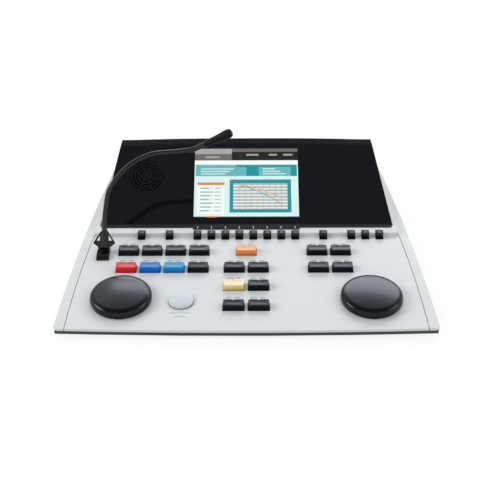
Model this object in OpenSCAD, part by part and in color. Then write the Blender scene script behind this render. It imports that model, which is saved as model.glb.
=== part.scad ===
/*
  Desktop audiometer.
  A shallow light-coloured casing carries push keys, soft keys, two level dials
  and a talk button. A black hood behind them holds the colour display and the
  monitor loudspeaker, and a microphone on a gooseneck stands on the left.
  Sizes in millimetres, Z up, resting on Z = 0, front towards -Y.
*/

/* [View] */
// sub-part to draw, or all

/* [Casing] */
// overall width across the front corners
body_w = 365; // [358:1:375]
// overall depth
body_d = 295; // [290:1:310]
// how far the middle of the front edge stands ahead of its corners
front_bow = 3.5; // [1:0.5:6]
// width at the rear edge
rear_w = 304; // [298:1:312]
// outward bow of each side edge
side_bow = 4.2; // [1:0.1:5]
// height of the front crease above the table
front_h = 10; // [10:0.5:14]
// slope of the key deck
deck_tilt = 3; // [3:0.5:5]
// plastic wall of the casing
wall = 2; // [1.8:0.1:2.2]
// lower edge of the light casing above the table
skirt_z = 7.2; // [6.4:0.1:7.2]
// inside floor of the tray above the table
floor_z = 4.5; // [4.3:0.1:4.7]
// thickness of the bottom tray
tray_t = 1.6; // [1.4:0.1:1.8]
// how far the tray's rim stands back from the casing
tray_in = 0.8; // [0.6:0.1:1.2]
// width of each side rail at the front
rail_w = 10.3; // [9:0.1:12]
// width of each side rail beside the foot of the riser
rail_riser_w = 9.7; // [8:0.1:11]
// width of each side rail at the rear edge
rail_rear_w = 6; // [5:0.1:8]
// outward bow of the seam between deck and rails
seam_bow = 1.7; // [1:0.1:2.4]
// visible seam between deck and rails
seam_gap = 0.8; // [0.4:0.1:1]
// how much narrower the shelf is than the deck on each side
shelf_in = 1; // [0.5:0.1:1.5]
// ledge of each rail under the edge of the deck
ledge_w = 4; // [3:0.5:5]

/* [Riser and shelf] */
// distance from the front crease to the foot of the riser
riser_v = 145.6; // [145:0.1:149]
// distance from the foot of the riser to the foot of the hood
riser_run = 11.4; // [11:0.1:12.4]
// height of the shelf at the foot of the hood
riser_rise = 5; // [4.8:0.1:5.6]
// height of the steep front of the riser
step_rise = 3.9; // [3.6:0.1:4.2]
// how far the steep front of the riser leans back
step_run = 0.6; // [0.4:0.1:1]
// depth of the groove along the foot of the riser
groove = 0.5; // [0.2:0.1:0.8]

/* [Display hood] */
// slope of the display face against the deck
face_tilt = 27.6; // [25:0.1:30]
// length of the display face up its slope
face_len = 102.2; // [100:0.1:106]
// length of the brow above the display
brow_len = 8.7; // [6:0.1:12]
// slope of the brow against the deck
brow_tilt = 14; // [8:1:20]
// width of the hood at its front foot
hood_w = 312; // [306:1:314]
// how much each hood side closes in towards the rear
hood_taper = 5.8; // [5:0.1:7]
// how much each hood side leans in
hood_lean = 8.3; // [6:0.1:12]
// shell thickness of the hood
hood_wall = 2.2; // [1.8:0.1:2.6]
// margin between the foot of the hood and the rear edge
hood_back = 6; // [5:0.5:10]
// how far the lip of the hood reaches forwards over the shelf
lip_drop = 2.8; // [2:0.1:4]
// thickness of the lip and the tab
tab_t = 0.8; // [0.5:0.1:1]

/* [Display] */
// visible width of the display
win_w = 113.3; // [108:0.1:116]
// visible height of the display
win_h = 86.3; // [80:0.1:86.4]
// distance of the display up the face
win_s = 10.4; // [9:0.1:10.5]
// thickness of the clear pane
pane_t = 1.6; // [1.2:0.1:1.8]
// depth of the display module
lcd_t = 5; // [4:0.5:7]

/* [Monitor loudspeaker] */
// speaker position across the face
speaker_u = -109.2; // [-112:0.1:-100]
// speaker position up the face
speaker_s = 62.6; // [55:0.1:66]
// radius of the slot pattern
speaker_r = 19.5; // [16:0.5:21]
// number of slot rings
slot_rings = 5; // [3:1:5]
// width of one slot
slot_w = 1.4; // [1:0.1:1.8]

/* [Push keys] */
// width of a key at its foot
key_w = 21; // [18:0.1:21.4]
// depth of a key at its foot
key_d = 11.5; // [10:0.1:12.5]
// height of a key above the deck
key_h = 6.4; // [4:0.1:7]
// distance between neighbouring keys
key_pitch = 24.4; // [24.2:0.1:24.8]
// how much a key narrows to its top on each side
key_draft = 0.5; // [0.4:0.1:1.4]
// stroke of the keys and the talk button
key_travel = 1; // [0.6:0.1:1]
// gap between a key and its opening
key_gap = 0.35; // [0.3:0.05:0.5]
// retaining flange under the deck
flange_t = 0.8; // [0.6:0.1:0.9]
// how far the flange reaches past the key
flange_w = 1; // [0.8:0.1:1.2]

/* [Soft keys] */
// width of a soft key
soft_w = 7.7; // [6:0.1:8.2]
// depth of a soft key
soft_d = 10.8; // [9:0.1:11]
// height of a soft key
soft_h = 6.2; // [5.6:0.1:7]
// distance between neighbouring soft keys
soft_pitch = 14.8; // [14.4:0.1:15]
// how far the soft keys stand out ahead of the riser
soft_out = 5.8; // [5:0.1:6.4]

/* [Dials] */
// radius of a dial
dial_r = 30.4; // [28:0.1:31]
// height of a dial
dial_h = 10.2; // [9:0.1:11]
// distance of each dial from the centre line
dial_u = 122.2; // [119:0.1:124]
// distance of the dials from the front crease
dial_v = 42.2; // [40:0.1:44]
// radius of a dial's shaft
shaft_r = 3; // [2.5:0.1:3.5]
// gap around the dial shafts
shaft_gap = 0.3; // [0.3:0.05:0.4]

/* [Talk button] */
// radius of the talk button
talk_r = 12.5; // [10:0.1:13]
// height of the talk button
talk_h = 3; // [2:0.1:4]
// position of the talk button across the deck
talk_u = -63.5; // [-66:0.1:-60]
// position of the talk button up the deck
talk_v = 39.7; // [36:0.1:44]

/* [Microphone] */
// distance of the microphone from the left seam
mic_in = 14.8; // [14:0.1:15]
// distance of the swivel ahead of the riser
mic_back = 29.1; // [28:0.1:31]
// width of the base block
mic_base_w = 13; // [12:0.1:13]
// height of the base block
mic_base_h = 4; // [3.8:0.1:5]
// radius of the gooseneck
neck_r = 2.8; // [2.2:0.1:3.2]
// lean of the collar from upright
collar_lean = 42; // [38:1:46]
// widest half-width of the collar
collar_half = 11.5; // [10:0.1:12]
// thickness of the collar plate
collar_t = 3; // [2:0.1:4]
// radius of the capsule at its tip
capsule_r = 5; // [4:0.1:6]

/* [Rear connectors] */
// thickness of the rear plate
plate_t = 2; // [1.6:0.1:2.4]
// how far the rear plate is set in from the rear edge
plate_in = 3.2; // [3:0.1:4]
// height of the connector row
jack_z = 16; // [15.5:0.1:17]
// spacing of the phone jacks
jack_pitch = 25; // [22:0.5:26]
// bore radius of a phone jack
jack_r = 3.2; // [3.15:0.01:3.3]
// length of the bore of a phone jack
jack_bore = 16; // [12:0.5:18]

/* [Hidden] */
$fn = 96;
// front edges of the four key rows, rear row first
soft_v = riser_v - soft_out;
row_v = [for (share = [0.7692, 0.5756, 0.3791, 0.1717]) share * riser_v];
// key places across the deck, in key pitches from the centre line
key_slots = [[-5, -4, -3, -2, 0, 3, 4], [-5, -4, -3, -2, -0.5, 0.5, 3, 4], [-0.5, 0.5], [-0.5, 0.5]];
// soft key places, counted from the left end of the row
soft_slots = [0, 2, 4, 5, 6, 7, 8, 9, 10, 11, 13, 15, 16, 17];
// corners that the gooseneck is bent round, from its swivel: right, up the deck, above the deck
neck_corners = [[4.2, 32.9, 52.3], [7.8, 37, 60.2], [23.9, 52, 73.6], [46.3, 66.2, 79.8],
  [71.1, 67.6, 80.8], [89.9, 68.4, 82.5], [103.8, 69.6, 88.9]];
front_y = -body_d / 2 + front_bow;
rear_y = body_d / 2;
deck_len = (rear_y - front_y) / cos(deck_tilt);
big = 400;

// side edge: an arc through the front and rear corners
edge_len = norm([(body_w - rear_w) / 2, rear_y - front_y]);
edge_nx = (rear_y - front_y) / edge_len;
edge_ny = (body_w - rear_w) / 2 / edge_len;
side_r = (pow(edge_len / 2, 2) + pow(side_bow, 2)) / (2 * side_bow);
side_cx = (body_w + rear_w) / 4 - edge_nx * (side_r - side_bow);
side_cy = (front_y + rear_y) / 2 - edge_ny * (side_r - side_bow);
front_r = (pow(body_w / 2, 2) + pow(front_bow, 2)) / (2 * front_bow);

// seam between deck and rails: half-widths at the front, the riser and the rear, and its arc
riser_share = riser_v / deck_len;
riser_y = front_y + riser_v * cos(deck_tilt);
seam_front = body_w / 2 - rail_w;
seam_riser = body_w / 2 - (body_w - rear_w) / 2 * riser_share
  + 4 * side_bow * riser_share * (1 - riser_share) - rail_riser_w;
seam_rear = rear_w / 2 - rail_rear_w;
seam_len = norm([seam_front - seam_riser, riser_y - front_y]);
seam_nx = (riser_y - front_y) / seam_len;
seam_ny = (seam_front - seam_riser) / seam_len;
seam_r = (pow(seam_len / 2, 2) + pow(seam_bow, 2)) / (2 * seam_bow);
seam_cx = (seam_front + seam_riser) / 2 - seam_nx * (seam_r - seam_bow);
seam_cy = (front_y + riser_y) / 2 - seam_ny * (seam_r - seam_bow);
shelf_v = riser_v + riser_run;
shelf_angle = atan2(riser_rise - step_rise, riser_run - step_run);
// the black tab below the display reaches forwards to just behind the soft keys
tab_drop = shelf_v - soft_v - soft_d - key_gap - 0.5;

// layers under the deck
rest_gap = 0.1;
flange_w0 = -wall - rest_gap;
membrane_w = flange_w0 - flange_t - key_travel - 0.1;
membrane_t = 0.5;
board_t = 1.2;
board_w = membrane_w - membrane_t;
encoder_half = 7;
encoder_h = 4.2;

// hood
face_v = shelf_v + face_len * cos(face_tilt);
face_w = riser_rise + face_len * sin(face_tilt);
crest_v = face_v + brow_len * cos(brow_tilt);
crest_w = face_w + brow_len * sin(brow_tilt);
hood_end_v = deck_len - hood_back;
rear_slope = atan2(crest_w - riser_rise, hood_end_v - crest_v);
hood_half = hood_w / 2;
lcd_margin = 4;

// microphone
mic_u = mic_in - seam_riser;
mic_v = riser_v - mic_back;
neck_path = concat([collar_point(12), collar_point(35)],
  [for (c = neck_corners) c + [mic_u, mic_v, 0]]);

plate_y = rear_y - plate_in;
plate_half = seam_rear - wall - 0.8 - shelf_in;
shelf_under_z = front_h + (plate_y - plate_t - front_y) * tan(deck_tilt) + (riser_rise - wall) / cos(deck_tilt);
// screws: place up the casing and distance from the seam
screw_places = [[front_y + 14, 12.7], [front_y + 135, 10.6], [plate_y - 26.3, 13]];
screw_at = [for (p = screw_places) [seam(p[0]) - p[1], p[0]]];
feet_at = [[body_w / 2 - 42.5, front_y + 22], [rear_w / 2 - 32, rear_y - 29.5]];
screw_len = 5;
pillar_h = 5;
board_half = rear_w / 2 - 37;
board_d = 90;
board_y = plate_y - 24.3 - board_d;

// connectors along the rear plate
inlet_x = plate_half - 18.2;
switch_x = inlet_x - 34;
usb_x = switch_x - 34;

function seam(y) = y < riser_y ? seam_cx + sqrt(pow(seam_r, 2) - pow(y - seam_cy, 2))
  : seam_riser + (seam_rear - seam_riser) * (y - riser_y) / (rear_y - riser_y);
function collar_point(d) = [mic_u, mic_v + d * sin(collar_lean), mic_base_h + 1 + d * cos(collar_lean)];
function neck_run(i) = neck_path[i + 1] - neck_path[i];
function neck_way(i) = neck_run(i) / norm(neck_run(i));
// how far a bend reaches along the runs on both sides of its corner
function neck_reach(i) = i < 1 || i > len(neck_path) - 2 ? 0
  : 0.47 * min(norm(neck_run(i - 1)), norm(neck_run(i)));
// middle of the gap between a key row and the keys behind it
function behind_row(r) = (row_v[r] + key_d + (r > 0 ? row_v[r - 1] : soft_v)) / 2;

module deck() {
  translate([0, front_y, front_h])
    rotate([deck_tilt, 0, 0])
      children();
}

module face() {
  translate([0, shelf_v, riser_rise])
    rotate([face_tilt, 0, 0])
      children();
}

// a solid with the given side view, running across the deck
module across(width) {
  rotate([90, 0, 90])
    linear_extrude(height = width, center = true)
      children();
}

// a rod from one point to another
module rod(a, b, r1, r2) {
  d = b - a;
  translate(a)
    rotate([0, acos(d[2] / norm(d)), atan2(d[1], d[0])])
      cylinder(r1 = r1, r2 = r2, h = norm(d));
}

module outline(inset) {
  intersection() {
    translate([-body_w / 2, -body_d / 2])
      square([body_w, body_d - inset]);
    translate([side_cx, side_cy])
      circle(r = side_r - inset, $fn = 360);
    translate([-side_cx, side_cy])
      circle(r = side_r - inset, $fn = 360);
    translate([0, -body_d / 2 + front_r])
      circle(r = front_r - inset, $fn = 360);
  }
}

// the deck between its seams; inset narrows it, and shelf_inset narrows the part behind the riser
module seam_shape(inset, shelf_inset) {
  riser_half = seam(riser_y + 0.001) - shelf_inset;
  rear_half = seam(rear_y + 20) - shelf_inset;
  intersection() {
    translate([-big, -big])
      square([2 * big, big + riser_y]);
    translate([seam_cx, seam_cy])
      circle(r = seam_r - inset, $fn = 360);
    translate([-seam_cx, seam_cy])
      circle(r = seam_r - inset, $fn = 360);
  }
  polygon([[-riser_half, riser_y - 2], [riser_half, riser_y - 2], [rear_half, rear_y + 20],
    [-rear_half, rear_y + 20]]);
}

// everything under the deck surface, lowered by a depth
module under_surface(depth) {
  foot = riser_v + 0.9 * depth;
  deck()
    across(2 * big)
      polygon([[-50, -depth], [foot - groove, -depth], [foot, -depth - groove],
        [foot + step_run, step_rise - depth], [shelf_v, riser_rise - depth],
        [big, riser_rise - depth], [big, -100], [-50, -100]]);
}

module under_plane(depth) {
  deck()
    translate([-big, -50, -100 - depth])
      cube([2 * big, big + 50, 100]);
}

module key_cap(width, depth, height, draft, front, rear) {
  bottom = flange_w0 - 0.01;
  intersection() {
    across(2 * width)
      polygon([[0, bottom], [0, 0], [0.8, front], [depth - 0.9, rear], [depth, 0], [depth, bottom]]);
    translate([0, depth + 1, 0])
      rotate([90, 0, 0])
        linear_extrude(height = depth + 2)
          polygon([[-width / 2, bottom], [width / 2, bottom], [width / 2, 0], [width / 2 - draft, height],
            [-width / 2 + draft, height], [-width / 2, 0]]);
  }
}

module key_flange(width, depth) {
  translate([-width / 2 - flange_w, -flange_w, flange_w0 - flange_t])
    cube([width + 2 * flange_w, depth + 2 * flange_w, flange_t]);
}

module key_opening(width, depth, top) {
  translate([-width / 2 - key_gap, -key_gap, -2 * wall])
    cube([width + 2 * key_gap, depth + 2 * key_gap, top + 2 * wall]);
}

module push_key(row, place) {
  deck()
    translate([key_slots[row - 1][place - 1] * key_pitch, row_v[row - 1], 0]) {
      key_cap(key_w, key_d, key_h, key_draft, key_h * 0.95, key_h);
      key_flange(key_w, key_d);
    }
}

module soft_key(place) {
  dome_r = soft_d * 0.7;
  deck()
    translate([(soft_slots[place - 1] - 7.5) * soft_pitch, soft_v, 0]) {
      intersection() {
        across(soft_w)
          intersection() {
            translate([0, flange_w0 - 0.01])
              square([soft_d, soft_h - flange_w0 + 0.01]);
            union() {
              translate([soft_d * 0.42, soft_h - dome_r])
                circle(r = dome_r);
              translate([0, -soft_h])
                square([soft_d, 1.5 * soft_h]);
            }
          }
        translate([0, soft_d + 1, 0])
          rotate([90, 0, 0])
            linear_extrude(height = soft_d + 2)
              polygon([[-soft_w / 2, -20], [soft_w / 2, -20], [soft_w / 2, 0], [soft_w / 2 - 0.5, soft_h],
                [-soft_w / 2 + 0.5, soft_h], [-soft_w / 2, 0]]);
      }
      key_flange(soft_w, soft_d);
    }
}

module screw_bosses() {
  for (side = [-1, 1], p = screw_at)
    difference() {
      translate([side * p[0], p[1], floor_z])
        cylinder(r = 3.5, h = 40);
      translate([side * p[0], p[1], 0])
        cylinder(r = 1.5, h = floor_z + screw_len - 1);
    }
}

module deck_posts() {
  posts = [[behind_row(0), [-125, -60, 0, 60, 125]], [behind_row(1), [-132, -85, -60, 30, 60, 110]],
    [behind_row(2), [-85, -30, 30, 85]], [row_v[3] - 5, [-25, 25]]];
  for (row = posts, u = row[1])
    deck()
      translate([u, row[0], membrane_w])
        cylinder(r = 1.6, h = -membrane_w - wall / 2);
}

module top_casing() {
  color([0.87, 0.88, 0.89]) {
    difference() {
      intersection() {
        translate([0, 0, skirt_z])
          linear_extrude(height = 80)
            intersection() {
              outline(0);
              seam_shape(seam_gap / 2, seam_gap / 2 + shelf_in);
            }
        under_surface(0);
      }
      intersection() {
        translate([0, 0, -1])
          linear_extrude(height = 80)
            union() {
              outline(wall);
              translate([-big, 0])
                square([2 * big, big]);
            }
        under_plane(wall);
      }
      intersection() {
        translate([0, 0, -1])
          linear_extrude(height = 80)
            seam_shape(seam_gap / 2 + wall, seam_gap / 2 + shelf_in + wall);
        under_surface(wall);
        deck()
          translate([-big, riser_v + 0.9 * wall, -wall - 1])
            cube([2 * big, big, 20]);
      }
      deck() {
        for (r = [0:len(key_slots) - 1], s = key_slots[r])
          translate([s * key_pitch, row_v[r], 0])
            key_opening(key_w, key_d, 3);
        for (s = soft_slots)
          translate([(s - 7.5) * soft_pitch, soft_v, 0])
            key_opening(soft_w, soft_d, riser_rise + 3);
        translate([talk_u, talk_v, -10])
          cylinder(r = talk_r + key_gap, h = 20);
        for (side = [-1, 1])
          translate([side * dial_u, dial_v, -10])
            cylinder(r = shaft_r + shaft_gap, h = 20);
        translate([mic_u, mic_v, -10])
          cylinder(r = 4.2, h = 20);
      }
    }
    intersection() {
      screw_bosses();
      under_surface(wall / 2);
    }
    deck_posts();
  }
}

module rail() {
  color([0.86, 0.87, 0.88]) {
    difference() {
      intersection() {
        translate([0, 0, skirt_z])
          linear_extrude(height = 80)
            difference() {
              intersection() {
                outline(0);
                translate([0, -big])
                  square([big, 2 * big]);
              }
              seam_shape(-seam_gap / 2, 0.1 - seam_gap / 2);
            }
        under_plane(0);
      }
      intersection() {
        translate([0, 0, -1])
          linear_extrude(height = 80)
            outline(wall);
        under_plane(wall);
      }
      translate([body_w / 2, front_y, 0])
        rotate([0, 0, 45])
          cube([3.5, 3.5, 100], center = true);
    }
    intersection() {
      linear_extrude(height = 80)
        intersection() {
          difference() {
            seam_shape(-wall, 0.1 - wall);
            seam_shape(ledge_w, 0.1 + ledge_w);
          }
          translate([0, front_y + wall + 2])
            square([big, plate_y - plate_t - 3 - front_y - wall - 2]);
        }
      under_plane(wall);
      deck()
        translate([-big, -50, -2 * wall])
          cube([2 * big, big + 50, 2 * wall]);
    }
    intersection() {
      translate([plate_half + 0.2, plate_y - plate_t, skirt_z])
        cube([rear_w / 2 - plate_half, plate_in + plate_t, 40]);
      linear_extrude(height = 80)
        outline(0);
      under_plane(wall);
    }
  }
}

module right_rail() {
  rail();
}

module left_rail() {
  mirror([1, 0, 0])
    rail();
}

module bottom_tray() {
  rim_gap = 0.1;
  color([0.3, 0.31, 0.33])
    difference() {
      union() {
        translate([0, 0, floor_z - tray_t])
          linear_extrude(height = tray_t)
            outline(tray_in);
        translate([0, 0, floor_z - 0.5])
          linear_extrude(height = skirt_z - rim_gap - floor_z + 0.5)
            difference() {
              outline(tray_in);
              outline(tray_in + wall);
              translate([-big, plate_y - plate_t - 3])
                square([2 * big, big]);
            }
        for (x = [15 - board_half, board_half - 15], y = [board_y + 8, board_y + board_d - 8])
          translate([x, y, floor_z - 0.5])
            cylinder(r = 3, h = pillar_h + 0.5);
      }
      for (side = [-1, 1], p = screw_at)
        translate([side * p[0], p[1], -1])
          cylinder(r = 1.7, h = 20);
    }
}

module hood_body(inset) {
  intersection() {
    translate([0, shelf_v, riser_rise])
      rotate([face_tilt, 0, 0])
        translate([-big, -big, -big - inset])
          cube([2 * big, 2 * big, big]);
    translate([0, face_v, face_w])
      rotate([brow_tilt, 0, 0])
        translate([-big, -big, -big - inset])
          cube([2 * big, 2 * big, big]);
    translate([0, crest_v, crest_w])
      rotate([-rear_slope, 0, 0])
        translate([-big, -big, -big - inset])
          cube([2 * big, 2 * big, big]);
    translate([hood_half, shelf_v, riser_rise])
      rotate([0, -hood_lean, hood_taper])
        translate([-big - inset, -big, -big])
          cube([big, 2 * big, 2 * big]);
    translate([-hood_half, shelf_v, riser_rise])
      rotate([0, hood_lean, -hood_taper])
        translate([inset, -big, -big])
          cube([big, 2 * big, 2 * big]);
    translate([-big, 0, riser_rise - (inset > 0 ? 5 : 0)])
      cube([2 * big, big, big]);
  }
}

module speaker_slots() {
  pitch = speaker_r / (slot_rings + 0.25);
  translate([speaker_u, speaker_s, -10])
    difference() {
      for (k = [1:slot_rings])
        difference() {
          cylinder(r = k * pitch + slot_w / 2, h = 20);
          translate([0, 0, -1])
            cylinder(r = k * pitch - slot_w / 2, h = 22);
        }
      for (a = [22.5, 67.5, 112.5, 157.5])
        rotate([0, 0, a])
          translate([-big / 2, -0.9, -1])
            cube([big, 1.8, 22]);
    }
}

module display_hood() {
  color([0.1, 0.1, 0.13])
    deck() {
      difference() {
        hood_body(0);
        hood_body(hood_wall);
        face()
          translate([-win_w / 2, win_s, -10])
            cube([win_w, win_h, 20]);
        face()
          speaker_slots();
      }
      hood_apron(hood_w - 3, lip_drop, tab_t * 0.8);
      hood_apron(win_w, tab_drop, tab_t);
    }
}

// a strip of the hood that reaches forwards and lies on the shelf
module hood_apron(width, drop, thick) {
  foot = [shelf_v - drop, riser_rise - drop * tan(shelf_angle)];
  across(width)
    polygon([foot, [shelf_v, riser_rise], [shelf_v + 3, riser_rise], [shelf_v + 3, riser_rise + 1.2],
      [shelf_v, riser_rise + thick], foot + [-thick * sin(shelf_angle), thick * cos(shelf_angle)]]);
}

module display_window() {
  color([0.75, 0.85, 0.88, 0.4])
    deck()
      face()
        translate([-win_w / 2 + 0.1, win_s + 0.1, -hood_wall])
          cube([win_w - 0.2, win_h - 0.2, pane_t]);
}

module lcd_module() {
  color([0.35, 0.6, 0.62])
    deck()
      intersection() {
        face()
          translate([-win_w / 2 - lcd_margin, win_s - lcd_margin / 2, -hood_wall - lcd_t])
            cube([win_w + 2 * lcd_margin, face_len - 0.5 - win_s + lcd_margin / 2, lcd_t]);
        translate([-big, 0, riser_rise + 0.1])
          cube([2 * big, big, big]);
      }
}

module monitor_speaker() {
  color([0.15, 0.15, 0.16])
    deck()
      face()
        translate([speaker_u, speaker_s, -hood_wall])
          rotate([180, 0, 0])
            rotate_extrude()
              polygon([[speaker_r - 0.5, 0], [speaker_r + 2.5, 0], [speaker_r + 2.5, 2.5], [speaker_r - 3, 9],
                [speaker_r - 3, 14], [0, 14], [0, 3], [6, 3], [speaker_r - 3, 1.2]]);
}

module main_board() {
  color([0.1, 0.35, 0.2])
    translate([-board_half, board_y, floor_z + pillar_h])
      cube([2 * board_half, board_d, 1.6]);
}

module board_shape(inset) {
  keys_half = 5 * key_pitch + key_w / 2 + 4.5;
  soft_half = 9.5 * soft_pitch + soft_w / 2 + 2;
  front = dial_v - encoder_half - 21;
  wide = mic_v + 11.5;
  difference() {
    union() {
      translate([inset - keys_half, front + inset])
        square([2 * (keys_half - inset), wide - front + 2]);
      translate([inset - soft_half, wide + inset])
        square([2 * (soft_half - inset), soft_v + soft_d + 2.5 - wide - 2 * inset]);
    }
    for (side = [-1, 1])
      translate([side * dial_u, dial_v])
        square(2 * encoder_half + 1, center = true);
  }
}

module key_board() {
  color([0.12, 0.38, 0.2])
    deck()
      translate([0, 0, board_w - board_t])
        linear_extrude(height = board_t)
          board_shape(0);
}

module key_membrane() {
  color([0.75, 0.76, 0.74])
    deck()
      translate([0, 0, board_w])
        linear_extrude(height = membrane_t)
          board_shape(0.5);
}

module dial_encoders() {
  color([0.55, 0.56, 0.58])
    for (side = [-1, 1])
      deck()
        translate([side * dial_u, dial_v, -wall - encoder_h])
          difference() {
            translate([-encoder_half, -encoder_half, 0])
              cube([2 * encoder_half, 2 * encoder_half, encoder_h]);
            translate([0, 0, 0.8])
              cylinder(r = shaft_r + shaft_gap, h = encoder_h);
          }
}

module dial(side) {
  lift = 0.5;
  rim = 0.9;
  color([0.12, 0.12, 0.14])
    deck()
      translate([side * dial_u, dial_v, 0])
        rotate_extrude()
          polygon([[0, 1 - wall - encoder_h], [shaft_r, 1 - wall - encoder_h], [shaft_r, lift],
            [shaft_r + 4, lift], [shaft_r + 4, dial_h - 2.8], [dial_r - 3.4, dial_h - 2.8], [dial_r - 2, lift],
            [dial_r - 0.4, lift], [dial_r, lift + 1], [dial_r - 0.2, dial_h * 0.45],
            [dial_r - 0.9, dial_h * 0.68], [dial_r - 2, dial_h - 1.7], [dial_r - 3.4, dial_h - 0.8],
            [dial_r - 5, dial_h - 0.35], [dial_r - 8, dial_h], [0, dial_h]]);
}

module left_dial() {
  dial(-1);
}

module right_dial() {
  dial(1);
}

module talk_button() {
  color([0.82, 0.84, 0.85])
    deck()
      translate([talk_u, talk_v, 0])
        rotate_extrude()
          polygon([[0, flange_w0 - flange_t], [talk_r + flange_w, flange_w0 - flange_t],
            [talk_r + flange_w, flange_w0], [talk_r, flange_w0], [talk_r, talk_h - 1.2],
            [talk_r - 0.4, talk_h - 0.4], [talk_r - 1.4, talk_h], [0, talk_h]]);
}

module mic_base() {
  color([0.1, 0.1, 0.12])
    deck()
      difference() {
        union() {
          translate([mic_u - 0.8, 0, 0])
            across(mic_base_w)
              polygon([[mic_v - 12.8, 0], [mic_v - 12.5, mic_base_h * 0.55], [mic_v - 6.5, mic_base_h],
                [mic_v + 5.2, mic_base_h], [mic_v + 5.2, 0]]);
          translate([mic_u, mic_v, -wall])
            cylinder(r = 4, h = wall + 1);
        }
        translate([mic_u, mic_v, 0.5 - wall])
          cylinder(r = 3.1, h = 20);
      }
}

module mic_collar() {
  color([0.09, 0.09, 0.11])
    deck()
      translate([mic_u, mic_v, mic_base_h]) {
        translate([0, 0, 0.3])
          cylinder(r = 5.2, h = 1.9);
        translate([0, 0, 1 - wall - mic_base_h])
          cylinder(r = 2.8, h = wall + mic_base_h);
        translate([0, 0, 1])
          rotate([-collar_lean, 0, 0]) {
            difference() {
              rotate([90, 0, 0])
                linear_extrude(height = collar_t, center = true)
                  difference() {
                    polygon([[-5.5, 1.6], [5.5, 1.6], [collar_half, 6.5], [neck_r + 1.2, 18.3],
                      [-neck_r - 1.2, 18.3], [-collar_half, 6.5]]);
                    for (side = [-1, 1])
                      polygon([[side * (neck_r + 1.6), 9], [side * (collar_half - 3.4), 9],
                        [side * (neck_r + 1.6), 15.2]]);
                  }
              translate([0, 0, 12])
                cylinder(r = neck_r + 0.01, h = 20);
            }
            difference() {
              translate([0, 0, 3])
                cylinder(r = neck_r + 1, h = 16);
              translate([0, 0, 12])
                cylinder(r = neck_r + 0.01, h = 20);
            }
          }
      }
}

module neck_bend(i) {
  way = neck_way(i - 1);
  turn = acos(way * neck_way(i));
  radius = neck_reach(i) / tan(turn / 2);
  axle = cross(way, neck_way(i)) / sin(turn);
  out = -cross(axle, way);
  start = neck_path[i] - way * neck_reach(i);
  centre = start - out * radius;
  multmatrix([for (k = [0:2]) [out[k], way[k], axle[k], centre[k]]])
    rotate_extrude(angle = turn)
      translate([radius, 0])
        circle(r = neck_r);
}

module mic_gooseneck() {
  slim = 0.05;
  lap = 0.3;
  last = len(neck_path) - 2;
  color([0.13, 0.13, 0.15])
    deck() {
      for (i = [1:last])
        neck_bend(i);
      for (i = [0:last])
        rod(neck_path[i] + neck_way(i) * (neck_reach(i) - (i > 0 ? lap : 0)),
          neck_path[i + 1] - neck_way(i) * (neck_reach(i + 1) - (i < last ? lap : 0)),
          neck_r - slim, neck_r - slim);
    }
}

module mic_capsule() {
  start = neck_path[len(neck_path) - 1];
  aim = neck_way(len(neck_path) - 2);
  color([0.08, 0.08, 0.1])
    deck()
      translate(start)
        rotate([0, acos(aim[2]), atan2(aim[1], aim[0])])
          rotate_extrude()
            polygon([[0, 0], [neck_r + 0.4, 0], [neck_r + 0.6, 1.5], [capsule_r - 1.1, 14], [capsule_r - 0.3, 22],
              [capsule_r, 23.5], [capsule_r, 28.5], [capsule_r - 0.8, 30.5], [capsule_r - 2.2, 31.9], [0, 32.4]]);
}

module rear_cut(x, w, h, z) {
  translate([x - w / 2, plate_y - plate_t - 1, z - h / 2])
    cube([w, plate_t + 2, h]);
}

function jack_x(i) = usb_x - 34 - i * jack_pitch;

module rear_plate() {
  color([0.2, 0.21, 0.23])
    difference() {
      translate([-plate_half, plate_y - plate_t, floor_z])
        cube([2 * plate_half, plate_t, shelf_under_z - floor_z]);
      for (i = [0:5])
        translate([jack_x(i), plate_y + 1, jack_z])
          rotate([90, 0, 0])
            cylinder(r = 5, h = plate_t + 2);
      rear_cut(inlet_x, 22.4, 12.4, jack_z);
      rear_cut(usb_x, 12.4, 11.4, jack_z);
      rear_cut(switch_x, 13.4, 19.4, jack_z);
    }
}

module jack_sockets() {
  color([0.12, 0.12, 0.13])
    for (i = [0:5])
      translate([jack_x(i), plate_y, jack_z])
        rotate([90, 0, 0])
          difference() {
            union() {
              translate([-7, -6.5, plate_t])
                cube([14, 13, 20]);
              translate([0, 0, -2.6])
                cylinder(r = 4.8, h = plate_t + 3);
              translate([0, 0, -2])
                cylinder(r = 7, h = 2, $fn = 6);
            }
            translate([0, 0, -3])
              cylinder(r = jack_r, h = jack_bore + 0.4);
          }
}

module power_inlet() {
  color([0.08, 0.08, 0.09])
    translate([inlet_x, plate_y, jack_z])
      rotate([90, 0, 0]) {
        difference() {
          union() {
            translate([-11, -6, -0.5])
              cube([22, 12, 18]);
            translate([-13, -8, -1.5])
              cube([26, 16, 1.5]);
          }
          translate([-7.4, -4.2, -2])
            cube([14.8, 8.4, 15]);
        }
        for (side = [-1, 1])
          translate([side * 4.3, 0, 1])
            cylinder(r = 1.2, h = 13);
      }
}

module usb_port() {
  color([0.7, 0.71, 0.72])
    translate([usb_x, plate_y, jack_z])
      rotate([90, 0, 0])
        difference() {
          translate([-6, -5.5, -0.8])
            cube([12, 11, 16]);
          difference() {
            translate([-4.3, -3.9, -2])
              cube([8.6, 7.8, 12]);
            translate([-2.8, -1.6, -0.2])
              cube([5.6, 3.2, 11]);
          }
        }
}

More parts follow.
